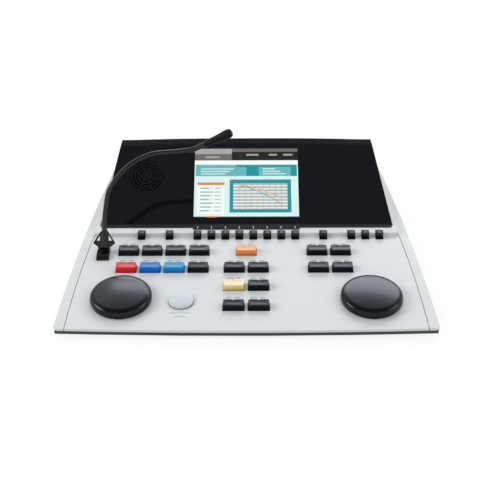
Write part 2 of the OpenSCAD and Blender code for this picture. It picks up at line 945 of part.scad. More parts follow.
module switch_frame() {
  color([0.09, 0.09, 0.1])
    translate([switch_x, plate_y, jack_z])
      rotate([90, 0, 0])
        difference() {
          union() {
            translate([-6.5, -9.5, -0.5])
              cube([13, 19, 14]);
            translate([-8, -10.6, -1.5])
              cube([16, 21.2, 1.5]);
          }
          translate([-5.5, -8.5, -2])
            cube([11, 17, 12]);
          translate([-7, 0, 3])
            rotate([0, 90, 0])
              cylinder(r = 1.5, h = 14);
        }
}

module power_rocker() {
  color([0.14, 0.14, 0.15])
    translate([switch_x, plate_y - 3, jack_z])
      rotate([-7, 0, 0]) {
        across(10)
          polygon([[-3.4, -7.2], [4.6, -7.4], [3.2, 0], [4.6, 7.4], [-3.4, 7.2]]);
        rotate([0, 90, 0])
          cylinder(r = 1.2, h = 12.6, center = true);
      }
}

module rubber_feet() {
  color([0.1, 0.1, 0.1])
    for (side = [-1, 1], p = feet_at)
      translate([side * p[0], p[1], 0]) {
        cylinder(r1 = 7.2, r2 = 8, h = 1);
        translate([0, 0, 1])
          cylinder(r = 8, h = floor_z - tray_t - 1);
      }
}

module case_screws() {
  color([0.6, 0.61, 0.63])
    for (side = [-1, 1], p = screw_at)
      translate([side * p[0], p[1], floor_z - tray_t])
        difference() {
          union() {
            translate([0, 0, -1.4])
              cylinder(r1 = 2.3, r2 = 2.8, h = 1.4);
            cylinder(r = 1.4, h = screw_len);
          }
          for (a = [0, 90])
            rotate([0, 0, a])
              translate([-1.6, -0.3, -2])
                cube([3.2, 0.6, 1.5]);
        }
}

module key_1_1() {
  color([0.16, 0.16, 0.19])
    push_key(1, 1);
}

module key_1_2() {
  color([0.16, 0.16, 0.19])
    push_key(1, 2);
}

module key_1_3() {
  color([0.16, 0.16, 0.19])
    push_key(1, 3);
}

module key_1_4() {
  color([0.16, 0.16, 0.19])
    push_key(1, 4);
}

module key_1_5() {
  color([0.93, 0.51, 0.19])
    push_key(1, 5);
}

module key_1_6() {
  color([0.16, 0.16, 0.19])
    push_key(1, 6);
}

module key_1_7() {
  color([0.16, 0.16, 0.19])
    push_key(1, 7);
}

module key_2_1() {
  color([0.78, 0.2, 0.24])
    push_key(2, 1);
}

module key_2_2() {
  color([0.06, 0.31, 0.69])
    push_key(2, 2);
}

module key_2_3() {
  color([0.07, 0.47, 0.68])
    push_key(2, 3);
}

module key_2_4() {
  color([0.16, 0.16, 0.19])
    push_key(2, 4);
}

module key_2_5() {
  color([0.16, 0.16, 0.19])
    push_key(2, 5);
}

module key_2_6() {
  color([0.16, 0.16, 0.19])
    push_key(2, 6);
}

module key_2_7() {
  color([0.16, 0.16, 0.19])
    push_key(2, 7);
}

module key_2_8() {
  color([0.16, 0.16, 0.19])
    push_key(2, 8);
}

module key_3_1() {
  color([0.94, 0.81, 0.55])
    push_key(3, 1);
}

module key_3_2() {
  color([0.16, 0.16, 0.19])
    push_key(3, 2);
}

module key_4_1() {
  color([0.16, 0.16, 0.19])
    push_key(4, 1);
}

module key_4_2() {
  color([0.16, 0.16, 0.19])
    push_key(4, 2);
}

module soft_key_01() {
  color([0.12, 0.12, 0.14])
    soft_key(1);
}

module soft_key_02() {
  color([0.12, 0.12, 0.14])
    soft_key(2);
}

module soft_key_03() {
  color([0.12, 0.12, 0.14])
    soft_key(3);
}

module soft_key_04() {
  color([0.12, 0.12, 0.14])
    soft_key(4);
}

module soft_key_05() {
  color([0.12, 0.12, 0.14])
    soft_key(5);
}

module soft_key_06() {
  color([0.12, 0.12, 0.14])
    soft_key(6);
}

module soft_key_07() {
  color([0.12, 0.12, 0.14])
    soft_key(7);
}

module soft_key_08() {
  color([0.12, 0.12, 0.14])
    soft_key(8);
}

module soft_key_09() {
  color([0.12, 0.12, 0.14])
    soft_key(9);
}

module soft_key_10() {
  color([0.12, 0.12, 0.14])
    soft_key(10);
}

module soft_key_11() {
  color([0.12, 0.12, 0.14])
    soft_key(11);
}

module soft_key_12() {
  color([0.12, 0.12, 0.14])
    soft_key(12);
}

module soft_key_13() {
  color([0.12, 0.12, 0.14])
    soft_key(13);
}

module soft_key_14() {
  color([0.12, 0.12, 0.14])
    soft_key(14);
}

top_casing();
left_rail();
right_rail();
bottom_tray();
rear_plate();
display_hood();
display_window();
lcd_module();
monitor_speaker();
main_board();
key_board();
key_membrane();
dial_encoders();
left_dial();
right_dial();
talk_button();
mic_base();
mic_collar();
mic_gooseneck();
mic_capsule();
jack_sockets();
power_inlet();
usb_port();
switch_frame();
power_rocker();
rubber_feet();
case_screws();
key_1_1();
key_1_2();
key_1_3();
key_1_4();
key_1_5();
key_1_6();
key_1_7();
key_2_1();
key_2_2();
key_2_3();
key_2_4();
key_2_5();
key_2_6();
key_2_7();
key_2_8();
key_3_1();
key_3_2();
key_4_1();
key_4_2();
soft_key_01();
soft_key_02();
soft_key_03();
soft_key_04();
soft_key_05();
soft_key_06();
soft_key_07();
soft_key_08();
soft_key_09();
soft_key_10();
soft_key_11();
soft_key_12();
soft_key_13();
soft_key_14();
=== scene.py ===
import math

import bmesh
import bpy
from bpy.props import FloatProperty, FloatVectorProperty, PointerProperty, StringProperty
from mathutils import Matrix, Vector


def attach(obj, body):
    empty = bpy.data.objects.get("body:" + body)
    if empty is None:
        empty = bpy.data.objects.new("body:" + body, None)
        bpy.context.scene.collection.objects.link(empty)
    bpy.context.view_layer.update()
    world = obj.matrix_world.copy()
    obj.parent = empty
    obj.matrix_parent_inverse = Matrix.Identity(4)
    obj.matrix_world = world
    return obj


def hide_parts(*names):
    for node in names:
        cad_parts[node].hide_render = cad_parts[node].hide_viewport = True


bl_info = {
    "name": "Audiometer looks",
    "version": (1, 0, 0),
    "blender": (4, 5, 0),
    "location": "3D View > Sidebar > Audiometer",
    "description": "Dresses the desktop audiometer's casing, hood, display, keys and microphone",
    "category": "Object",
}

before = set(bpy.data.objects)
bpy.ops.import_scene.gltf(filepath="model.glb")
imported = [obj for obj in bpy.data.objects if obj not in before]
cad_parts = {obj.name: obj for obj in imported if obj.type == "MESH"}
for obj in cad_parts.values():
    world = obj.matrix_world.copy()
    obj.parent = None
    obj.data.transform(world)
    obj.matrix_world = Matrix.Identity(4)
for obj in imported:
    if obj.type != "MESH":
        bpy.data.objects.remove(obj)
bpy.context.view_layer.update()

# All pieces are drawn in millimetres on the key deck: x to the right, y up the deck, z off it.
MM = 0.001
DECK_TILT = math.radians(3)
DECK_FOOT = Vector((0, -144.0, 10.0)) * MM
DECK_PLACE = Matrix.Translation(DECK_FOOT) @ Matrix.Rotation(DECK_TILT, 4, "X")
DECK = DECK_PLACE @ Matrix.Scale(MM, 4)
RISER_V, SHELF_V, SHELF_W = 145.6, 157.0, 5.0
FACE_TILT, SHELF_TILT = math.radians(27.6), math.radians(5.8)
FACE = DECK @ Matrix.Translation((0, SHELF_V, SHELF_W)) @ Matrix.Rotation(FACE_TILT, 4, "X")
HOOD_WALL, HOOD_HALF, CREST_W, CREST_DROP = 2.2, 125.0, 54.45, 1.8
WINDOW = (113.3, 86.3, 10.4)  # width, height, distance up the face

KEY_PITCH = 24.4
# rows of keys: distance up the deck, and where the keys stand in pitches from the middle
KEY_ROWS = (
    (112.0, (-5, -4, -3, -2, 0, 3, 4)),
    (83.8, (-5, -4, -3, -2, -0.5, 0.5, 3, 4)),
    (55.2, (-0.5, 0.5)),
    (25.0, (-0.5, 0.5)),
)
KEY_COLOURS = {(1, 5): "orange", (2, 1): "red", (2, 2): "blue", (2, 3): "teal", (3, 1): "cream"}
SOFT_SLOTS, SOFT_MIDDLE = (0, 2, 4, 5, 6, 7, 8, 9, 10, 11, 13, 15, 16, 17), 7.5
SOFT_PITCH, SOFT_V, SOFT_SIZE = 14.8, 139.8, (7.7, 10.8, 6.2)
DIAL_U, DIAL_V, DIAL_R, DIAL_H = 122.2, 42.2, 30.4, 10.2
TALK_U, TALK_V, TALK_R, TALK_H = -63.5, 39.7, 12.5, 3.0
NECK_R = 2.8
# corners that the gooseneck is bent round, and how far a bend reaches along its runs
NECK_CORNERS = (
    (-147, 124.53, 13.92), (-147, 139.92, 31.01), (-142.8, 149.4, 52.3),
    (-139.2, 153.5, 60.2), (-123.1, 168.5, 73.6), (-100.7, 182.7, 79.8),
    (-75.9, 184.1, 80.8), (-57.1, 184.9, 82.5), (-43.2, 186.1, 88.9),
)
NECK_REACH = 0.47
# turned outline of the microphone's head as (radius, height): sleeve, body, groove and sunk face
HEAD_OUTLINE = (
    (2.6, -0.4), (3.15, 0), (3.35, 1.2), (3.55, 6), (3.85, 13.5), (4.2, 18), (4.6, 21.6),
    (4.7, 22.3), (4.4, 22.5), (4.4, 22.9), (4.85, 23.1), (4.97, 24), (4.99, 26), (4.95, 28),
    (4.62, 29.3), (4.2, 30.2), (3.6, 30.95), (2.9, 31.5), (2.6, 31.55), (2.4, 31.2), (0, 31.1),
)
GRILLE_FROM = 22.8
SMOOTH_ANGLE = 35  # degrees; sharper edges stay crisp


# ---------------------------------------------------------------- colour and nodes

def tone(code):
    """A linear RGBA colour from an sRGB hex code."""
    parts = [int(code[i:i + 2], 16) / 255 for i in (1, 3, 5)]
    linear = [p / 12.92 if p <= 0.04045 else ((p + 0.055) / 1.055) ** 2.4 for p in parts]
    return (*linear, 1.0)


def add(tree, kind, settings=None, **inputs):
    """Adds a node with its settings; an input given as a socket is linked, any other is set.

    _3 names an input by its place, and Base_Color by its label.
    """
    made = tree.nodes.new(kind)
    for key, value in (settings or {}).items():
        setattr(made, key, value)
    for key, value in inputs.items():
        label = int(key[1:]) if key[1:].isdigit() else key.replace("_", " ")
        socket = made.inputs[label]
        if isinstance(value, bpy.types.NodeSocket):
            tree.links.new(value, socket)
        else:
            socket.default_value = value
    return made


def per_metre(millimetres):
    """The scale of a pattern whose features are that many millimetres across."""
    return 1000.0 / millimetres


def new_material(name):
    material = bpy.data.materials.new(name)
    material.use_nodes = True
    tree = material.node_tree
    tree.nodes.clear()
    return material, tree


CLOUD = 35  # mm between slow changes of colour and polish
FOOT_SHADE = 3.5  # mm over the deck that the shade at a key's foot reaches


def moulded(name, colour, rough, grain, depth,
            ior=1.5, gloss=0.5, drift=0.04, foot=1.0, tint="#ffffff"):
    """Moulded plastic or rubber: an eroded grain, a slight drift in colour and uneven polish.

    foot below 1 paints shade that darkens the piece by that share where it goes down into the deck,
    and tint colours its gloss.
    """
    material, tree = new_material(name)
    place = add(tree, "ShaderNodeTexCoord").outputs["Object"]
    cloud = add(tree, "ShaderNodeTexNoise", Vector=place, Scale=per_metre(CLOUD), Detail=3.0)
    base = tone(colour)
    dark = tuple(c * (1 - 2 * drift) for c in base[:3]) + (1.0,)
    light = tuple(min(1, c * (1 + drift)) for c in base[:3]) + (1.0,)
    paint = add(
        tree, "ShaderNodeMix", {"data_type": "RGBA"}, _0=cloud.outputs["Fac"], _6=dark, _7=light
    ).outputs[2]
    # painted shade: darkens the colour towards the deck, over the lowest FOOT_SHADE mm
    if foot < 1:
        over_deck = add(
            tree, "ShaderNodeMapping", {"vector_type": "TEXTURE"}, Vector=place,
            Location=DECK_FOOT, Rotation=(DECK_TILT, 0, 0),
        )
        height = add(tree, "ShaderNodeSeparateXYZ", Vector=over_deck.outputs[0]).outputs["Z"]
        painted_foot_shade = add(
            tree, "ShaderNodeMapRange", _0=height, _1=0.0, _2=FOOT_SHADE * MM, _3=foot, _4=1.0
        )
        paint = add(
            tree, "ShaderNodeMix", {"data_type": "RGBA", "blend_type": "MULTIPLY"}, _0=1.0,
            _6=paint, _7=painted_foot_shade.outputs[0],
        ).outputs[2]
    skin = add(tree, "ShaderNodeTexNoise", Vector=place, Scale=per_metre(grain), Detail=2.0)
    polish = add(
        tree, "ShaderNodeMapRange", _0=cloud.outputs["Fac"], _1=0.3, _2=0.7,
        _3=rough * 0.88, _4=min(1, rough * 1.12),
    )
    bump = add(
        tree, "ShaderNodeBump", Strength=depth, Distance=0.0001, Height=skin.outputs["Fac"]
    )
    surface = add(
        tree, "ShaderNodeBsdfPrincipled", Base_Color=paint, Roughness=polish.outputs[0],
        IOR=ior, Specular_IOR_Level=gloss, Specular_Tint=tone(tint), Normal=bump.outputs[0],
    )
    add(tree, "ShaderNodeOutputMaterial", Surface=surface.outputs[0])
    return material


def lit(name, colour):
    """A lit area of the display: the colour of the picture element, with faint rows of pixels."""
    material, tree = new_material(name)
    place = add(tree, "ShaderNodeTexCoord").outputs["Object"]
    # the panel's pixel rows are 0.18 mm apart, too fine to show, so they're drawn at 1.8 mm;
    # a wave texture repeats 20 / tau times in each unit of its scale
    rows = add(
        tree, "ShaderNodeTexWave", {"bands_direction": "Y"}, Vector=place,
        Scale=per_metre(1.7765) * math.tau / 20,
    )
    level = add(tree, "ShaderNodeMapRange", _0=rows.outputs["Fac"], _3=0.95, _4=1.02)
    surface = add(
        tree, "ShaderNodeBsdfPrincipled", Base_Color=(0.01, 0.01, 0.01, 1), Roughness=0.4,
        Emission_Color=tone(colour), Emission_Strength=level.outputs[0],
    )
    add(tree, "ShaderNodeOutputMaterial", Surface=surface.outputs[0])
    return material


def nickel_material(_):
    """Nickel plate, brushed: fine drawn lines 1 mm apart in roughness and height."""
    material, tree = new_material("nickel_plated_brushed")
    place = add(tree, "ShaderNodeTexCoord").outputs["Object"]
    stretch = add(tree, "ShaderNodeMapping", Vector=place, Scale=(1, 1, 12))
    lines = add(
        tree, "ShaderNodeTexNoise", Vector=stretch.outputs[0], Scale=per_metre(1.0), Detail=4.0
    )
    polish = add(
        tree, "ShaderNodeMapRange", _0=lines.outputs["Fac"], _3=0.28 * 0.7, _4=0.28 * 1.3
    )
    bump = add(
        tree, "ShaderNodeBump", Strength=0.08, Distance=0.0001, Height=lines.outputs["Fac"]
    )
    surface = add(
        tree, "ShaderNodeBsdfPrincipled", Base_Color=tone("#b9bbbf"), Metallic=1.0,
        Roughness=polish.outputs[0], Normal=bump.outputs[0],
    )
    add(tree, "ShaderNodeOutputMaterial", Surface=surface.outputs[0])
    return material


def pane_material(_):
    """Clear acrylic pane, polished: a plain clear sheet with the faintest hard-coat haze."""
    material, tree = new_material("acrylic_clear_polished")
    place = add(tree, "ShaderNodeTexCoord").outputs["Object"]
    haze = add(tree, "ShaderNodeTexNoise", Vector=place, Scale=per_metre(20), Detail=2.0)
    polish = add(tree, "ShaderNodeMapRange", _0=haze.outputs["Fac"], _3=0.02, _4=0.06)
    surface = add(
        tree, "ShaderNodeBsdfPrincipled", Base_Color=(1, 1, 1, 1), Roughness=polish.outputs[0],
        IOR=1.2, Transmission_Weight=1.0,
    )
    add(tree, "ShaderNodeOutputMaterial", Surface=surface.outputs[0])
    return material


def button_material(colours):
    """Polycarbonate, translucent: milky body that lets a little of the deck's light through."""
    material, tree = new_material("polycarbonate_milky_moulded")
    place = add(tree, "ShaderNodeTexCoord").outputs["Object"]
    cloud = add(tree, "ShaderNodeTexNoise", Vector=place, Scale=per_metre(6), Detail=2.0)
    polish = add(tree, "ShaderNodeMapRange", _0=cloud.outputs["Fac"], _3=0.25, _4=0.34)
    surface = add(
        tree, "ShaderNodeBsdfPrincipled", Base_Color=tone(colours.button),
        Roughness=polish.outputs[0], IOR=1.58, Subsurface_Weight=0.25,
        Subsurface_Radius=(0.004, 0.004, 0.004), Subsurface_Scale=1.0,
    )
    add(tree, "ShaderNodeOutputMaterial", Surface=surface.outputs[0])
    return material


def capsule_material(_):
    """Painted zinc with a punched grille: its 0.8 mm holes are drawn at 1.6 mm to show, sunk by a
    bump and painted darker as painted shade in them.
    """
    material, tree = new_material("zinc_painted_punched")
    place = add(tree, "ShaderNodeTexCoord").outputs["Object"]
    holes = add(
        tree, "ShaderNodeTexVoronoi", {"feature": "F1"}, Vector=place, Scale=per_metre(1.6),
        Randomness=0.15,
    )
    edge = add(tree, "ShaderNodeMapRange", _0=holes.outputs["Distance"], _1=0.25, _2=0.42)
    tint = add(
        tree, "ShaderNodeMix", {"data_type": "RGBA"}, _0=edge.outputs[0], _6=tone("#020203"),
        _7=tone("#08080b"),
    )
    bump = add(tree, "ShaderNodeBump", Strength=0.6, Distance=0.0002, Height=edge.outputs[0])
    surface = add(
        tree, "ShaderNodeBsdfPrincipled", Base_Color=tint.outputs[2], Roughness=0.5,
        Specular_IOR_Level=0.2, Normal=bump.outputs[0],
    )
    add(tree, "ShaderNodeOutputMaterial", Surface=surface.outputs[0])
    return material


# painted reflection: this cool tint in the gloss stands in for a cool studio light; the lamps and
# world are white
PAINTED_COOL_GLOSS = "#e6eeff"  # the gloss of black plastic under a cool studio light

# Each finish starts from what the real piece is made of: the material's name, its colour (a code
# or the setting that holds it), roughness, grain in mm, depth of the grain, and what else differs.
MOULDED = {
    # ABS with a fine spark-eroded grain: a soft sheen that never mirrors; the 0.3 mm grain is
    # drawn at 0.8 mm
    "casing": ("abs_light_grey_spark_eroded", "casing", 0.42, 0.8, 0.10,
               dict(ior=1.53, gloss=0.35, drift=0.01)),
    "rail": ("abs_light_grey_rail", "rail", 0.40, 0.8, 0.10,
             dict(ior=1.53, gloss=0.35, drift=0.01)),  # the same ABS, a shade apart
    # ABS, black, moulded in a polished tool: a near mirror that shows the neck over it
    # its gloss has a cool tint too, as painted reflection
    "hood": ("abs_black_tool_polished", "hood", 0.10, 1.4, 0.012, dict(tint="#eef3ff")),
    # the hood's foot and soft-key tab keep a duller skin of the same ABS, painted a shade darker
    # than the hood as painted shade
    "hood_lip_painted_shade": ("abs_black_lip_painted_shade", "#07070c", 0.35, 1.2, 0.04, dict(gloss=0.16, tint=PAINTED_COOL_GLOSS)),
    # ABS tray, unpolished: matt and a little uneven
    "tray": ("abs_dark_grey_matt", "#3a3b3f", 0.6, 1.0, 0.2, {}),
    # steel sheet under powder coat: dull, with the coat's fine orange peel
    "plate": ("steel_sheet_powder_coated", "#2c2d31", 0.55, 0.7, 0.3, {}),
    # PBT key cap, polished on top by use
    "key_black": ("pbt_black_key", "key", 0.24, 0.7, 0.05, dict(ior=1.55, drift=0.05, tint=PAINTED_COOL_GLOSS)),
    # clear lens over the indicator in each key, frosted from behind
    "lens": ("polycarbonate_frosted_lens", "#b4b8c2", 0.3, 0.6, 0.05, dict(ior=1.58)),
    # silicone soft keys: a dull sheen on the dome; the sides are matt and painted darker than the
    # dome, as painted shade
    "soft_key": ("silicone_black_moulded", "#060609", 0.26, 0.6, 0.05,
                 dict(ior=1.45, gloss=0.4, tint=PAINTED_COOL_GLOSS)),
    "soft_skirt_painted_shade": ("silicone_black_skirt_painted_shade", "#020204", 0.5, 0.6, 0.05,
                   dict(ior=1.45, gloss=0.08)),
    # dial rim, ABS polished in the tool: a dark mirror with soft highlights
    "dial_rim": ("abs_black_polished", "#07070b", 0.12, 1.2, 0.01, dict(gloss=0.3, tint=PAINTED_COOL_GLOSS)),
    # dial top, ABS under soft-touch lacquer: a satin that gathers light at grazing angles
    "dial_top": ("abs_black_soft_touch", "#0b0d15", 0.2, 0.9, 0.02, dict(ior=1.55, tint=PAINTED_COOL_GLOSS)),
    # rim of the talk button where it sinks into the deck, painted dark grey as the painted shade of
    # the gap round it
    "button_rim_painted_shade": ("polycarbonate_rim_painted_shade", "#4a4d55", 0.4, 0.8, 0.1, dict(ior=1.58)),
    # EPDM sleeve over the gooseneck, extruded: smooth, with a soft line of light along it
    "sleeve": ("epdm_black_extruded", "#0b0a10", 0.26, 0.6, 0.06, dict(gloss=0.45)),
    # body of the microphone's head, zinc under satin black paint
    "head": ("zinc_painted_satin", "#050508", 0.4, 0.8, 0.06, dict(gloss=0.16)),
    # rubber feet, moulded: dull, with an open grain
    "rubber": ("rubber_black_moulded", "#0f0f13", 0.5, 0.8, 0.2, {}),
    # foot of the microphone, ABS with a polished skin: dark with small clear highlights
    "foot": ("abs_black_foot_polished", "#08080c", 0.2, 0.9, 0.02, dict(gloss=0.35)),
    # nylon of the sockets, moulded: black with a soft, even sheen
    "connector": ("nylon_black_moulded", "#17171a", 0.45, 0.8, 0.15, dict(ior=1.53)),
    # glass epoxy under green lacquer: smooth, with the weave faintly under it
    "board": ("glass_epoxy_green_lacquered", "#1b5e36", 0.35, 2.5, 0.3, {}),
    # silicone sheet, moulded: milky and soft to the light
    "membrane": ("silicone_milky_moulded", "#c4c6c2", 0.5, 1.0, 0.1, dict(ior=1.41)),
    # paper cone, pressed: fibrous, with no gloss
    "speaker": ("paper_cone_black_pressed", "#141416", 0.8, 1.2, 0.5, {}),
    # printing: screen-printed ink, a flat opaque film
    "ink_white": ("ink_white_screen_printed", "#d6d8da", 0.5, 0.5, 0.1, {}),
    "ink_grey": ("ink_grey_screen_printed", "#8f929c", 0.5, 0.5, 0.1, {}),
}
# PBT of the coloured keys: colour of the cap, its gloss and drift
KEY_CAPS = {
    "red": ("#d22530", 0.8, 0.03), "blue": ("#1277cc", 0.6, 0.03), "teal": ("#2a98cf", 0.6, 0.03),
    "orange": ("#f4a05a", 0.8, 0.03), "cream": ("#f8e6c2", 0.7, 0.02),
}
MOULDED.update({
    f"key_{plastic}": (f"pbt_{plastic}_key", code, 0.3, 0.7, 0.06,
                       dict(ior=1.57, gloss=gloss, drift=drift))
    for plastic, (code, gloss, drift) in KEY_CAPS.items()
})
# the side of each key keeps the dull skin of the mould; its colour, set apart from the cap's, is
# painted light for how the front is lit, and painted shade darkens it towards the deck
KEY_SKIRTS_PAINTED_LIGHT = {
    "black": "#0a0b0f", "red": "#f8282c", "blue": "#0472e2", "teal": "#038bd8",
    "orange": "#ff9c52", "cream": "#ffdc94",
}
MOULDED.update({
    f"key_{plastic}_skirt": (f"pbt_{plastic}_skirt", code, 0.5, 0.7, 0.08,
                             dict(gloss=0.12, drift=0.03, foot=0.5))
    for plastic, code in KEY_SKIRTS_PAINTED_LIGHT.items()
})
# the lit picture: each area is one colour of the generic screen
LIT = {
    "lit_white": ("lcd_white", "#fbfffd"), "lit_pale": ("lcd_pale_cyan", "#dcf5f1"),
    "lit_teal": ("lcd_teal", "#0a949b"), "lit_mid": ("lcd_soft_teal", "#63b9bd"),
    "lit_grey": ("lcd_grey", "#b9c2c1"), "lit_row": ("lcd_row_grey", "#8d9a9b"),
    "lit_orange": ("lcd_orange", "#e98b45"), "lit_black": ("lcd_black", "#0b0a0c"),
    "lit_tab": ("lcd_tab_grey", "#6b6865"), "lit_bar": ("lcd_bar_grey", "#a9a6a2"),
    "lit_deep": ("lcd_deep_teal", "#0b3a3e"),
}
SPECIAL = {
    "pane": pane_material, "button": button_material, "capsule": capsule_material,
    "nickel": nickel_material,
}
MATERIALS = {}


def finish(name):
    """The material of that name, made the first time that it's asked for."""
    if name not in MATERIALS:
        colours = bpy.context.scene.audiometer_colours
        if name in LIT:
            MATERIALS[name] = lit(*LIT[name])
        elif name in SPECIAL:
            MATERIALS[name] = SPECIAL[name](colours)
        else:
            made, colour, rough, grain, depth, more = MOULDED[name]
            code = colour if colour.startswith("#") else getattr(colours, colour)
            MATERIALS[name] = moulded(made, code, rough, grain, depth, **more)
    return MATERIALS[name]


# ---------------------------------------------------------------- mesh tools

def dress(piece, body, nodes, materials):
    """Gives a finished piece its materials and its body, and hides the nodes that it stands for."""
    for name in materials:
        piece.data.materials.append(finish(name))
    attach(piece, body)
    if nodes:
        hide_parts(*nodes)
    return piece


def object_from(name, mesh):
    piece = bpy.data.objects.new(name, mesh)
    bpy.context.scene.collection.objects.link(piece)
    return piece


def from_bmesh(name, bm, matrix=None, angle=SMOOTH_ANGLE):
    """Turns a bmesh into an object, smooth but for edges sharper than the angle."""
    if matrix is not None:
        bmesh.ops.transform(bm, matrix=matrix, verts=bm.verts)
    bmesh.ops.recalc_face_normals(bm, faces=bm.faces)
    mesh = bpy.data.meshes.new(name)
    bm.to_mesh(mesh)
    bm.free()
    mesh.polygons.foreach_set("use_smooth", [True] * len(mesh.polygons))
    mesh.set_sharp_from_angle(angle=math.radians(angle))
    return object_from(name, mesh)


def settle(piece):
    """Writes the modifiers of a piece into its mesh and renews its sharp edges."""
    bpy.context.view_layer.update()
    depsgraph = bpy.context.evaluated_depsgraph_get()
    solved = bpy.data.meshes.new_from_object(piece.evaluated_get(depsgraph))
    piece.modifiers.clear()
    piece.data = solved
    solved.polygons.foreach_set("use_smooth", [True] * len(solved.polygons))
    solved.set_sharp_from_angle(angle=math.radians(SMOOTH_ANGLE))
    weighted = piece.modifiers.new("even shading", "WEIGHTED_NORMAL")
    weighted.keep_sharp = True
    return piece


def rounded_node(node, name, edge, steps=3, wide=None, from_angle=26):
    """A copy of a construction solid with its moulded edges rounded.

    edge is the radius in mm, and wide(a, b) may give another for the edge from a to b. Edges
    flatter than from_angle degrees are left alone.
    """
    bm = bmesh.new()
    bm.from_mesh(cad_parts[node].data)
    bmesh.ops.remove_doubles(bm, verts=bm.verts, dist=2e-6)
    bmesh.ops.dissolve_limit(bm, angle_limit=math.radians(0.5), verts=bm.verts, edges=bm.edges)
    weight = bm.edges.layers.float.new("bevel_weight_edge")
    radii = {}
    for line in bm.edges:
        if line.is_manifold and line.calc_face_angle(0.0) > math.radians(from_angle):
            wider = wide(line.verts[0].co, line.verts[1].co) if wide else None
            radii[line] = wider or edge
    top = max(radii.values())
    for line, radius in radii.items():
        line[weight] = radius / top
    mesh = bpy.data.meshes.new(name)
    bm.to_mesh(mesh)
    bm.free()
    piece = object_from(name, mesh)
    bevel = piece.modifiers.new("moulded edges", "BEVEL")
    bevel.limit_method = "WEIGHT"
    bevel.width = top * MM
    bevel.segments = steps
    bevel.harden_normals = False
    return settle(piece)


def lathe(name, profile, matrix, steps, angle, second):
    """A turned piece from (radius, height) points.

    Its second material is on the faces whose lower ring passes second(radius, height).
    """
    bm = bmesh.new()
    rings = []
    for radius, height in profile:
        if radius < 1e-6:
            rings.append([bm.verts.new((0, 0, height))])
            continue
        turn = [math.tau * i / steps for i in range(steps)]
        rings.append([
            bm.verts.new((radius * math.cos(a), radius * math.sin(a), height)) for a in turn
        ])
    for k, (low, high) in enumerate(zip(rings, rings[1:])):
        mark = int(second(*profile[k]))
        for i in range(steps):
            j = (i + 1) % steps
            near = low[i % len(low)], low[j % len(low)]
            far = high[j % len(high)], high[i % len(high)]
            corners = list(dict.fromkeys(near + far))
            if len(corners) > 2:
                bm.faces.new(corners).material_index = mark
    return from_bmesh(name, bm, matrix, angle)


def rounded_ring(width, front, rear, radius, height, corner_steps):
    """Points round a rectangle with rounded corners; height(y) gives each point's height."""
    half = width / 2
    centres = ((half, front, -90), (half, rear, 0), (-half, rear, 90), (-half, front, 180))
    points = []
    for x, y, start in centres:
        cx = x - math.copysign(radius, x)
        cy = y + radius if y == front else y - radius
        for k in range(corner_steps + 1):
            a = math.radians(start + 90 * k / corner_steps)
            px, py = cx + radius * math.cos(a), cy + radius * math.sin(a)
            points.append((px, py, height(py)))
    return points


def loft(name, rings, matrix, angle, split):
    """A closed skin over rings, capped at both ends; its second material starts at ring split."""
    bm = bmesh.new()
    rows = [[bm.verts.new(p) for p in ring] for ring in rings]
    count = len(rows[0])
    for k, (low, high) in enumerate(zip(rows, rows[1:])):
        for i in range(count):
            j = (i + 1) % count
            bm.faces.new((low[i], low[j], high[j], high[i])).material_index = int(k >= split)
    bm.faces.new(list(reversed(rows[0])))
    bm.faces.new(rows[-1]).material_index = 1
    return from_bmesh(name, bm, matrix, angle)


def bent(corners, reach, steps=8):
    """A line through the corners with a round bend at each."""
    corners = [Vector(c) for c in corners]
    line = [corners[0]]
    for a, b, c in zip(corners, corners[1:], corners[2:]):
        run, back = (b - a).normalized(), (c - b).normalized()
        span = reach * min((b - a).length, (c - b).length)
        start, turn = b - run * span, run.angle(back)
        radius = span / math.tan(turn / 2)
        inward = (back - run * run.dot(back)).normalized()
        centre = start + inward * radius
        for k in range(steps + 1):
            a_k = turn * k / steps
            line.append(centre - inward * radius * math.cos(a_k) + run * radius * math.sin(a_k))
    line.append(corners[-1])
    return line


def tube(name, line, radius, matrix, sides=24):
    """A round tube along a line."""
    bm = bmesh.new()
    normal = Vector((1, 0, 0))
    rows = []
    for k, point in enumerate(line):
        ahead = (line[min(k + 1, len(line) - 1)] - line[max(k - 1, 0)]).normalized()
        normal = (normal - ahead * normal.dot(ahead)).normalized()
        side = ahead.cross(normal)
        turn = [math.tau * i / sides for i in range(sides)]
        rows.append([
            bm.verts.new(point + radius * (normal * math.cos(a) + side * math.sin(a)))
            for a in turn
        ])
    for low, high in zip(rows, rows[1:]):
        for i in range(sides):
            j = (i + 1) % sides
            bm.faces.new((low[i], low[j], high[j], high[i]))
    bm.faces.new(list(reversed(rows[0])))
    bm.faces.new(rows[-1])
    return from_bmesh(name, bm, matrix, 60)


# ---------------------------------------------------------------- settings

def colour_setting(name, description, code):
    described = description + ", as an sRGB hex code"
    return StringProperty(name=name, description=described, default=code)


def length_setting(name, description, metres):
    return FloatProperty(name=name, description=description, default=metres, unit="LENGTH")


class AudiometerColours(bpy.types.PropertyGroup):
    """Colours of the plastics"""

    casing: colour_setting("Casing", "Light plastic of the key deck", "#dde1e3")
    rail: colour_setting("Rails", "Light plastic of the side rails", "#dcdfe0")
    hood: colour_setting("Hood", "Black plastic of the display hood", "#08080f")
    key: colour_setting("Black keys", "Plastic of the black keys", "#0e1018")
    button: colour_setting("Talk button", "Milky plastic of the talk button", "#c9d3d8")


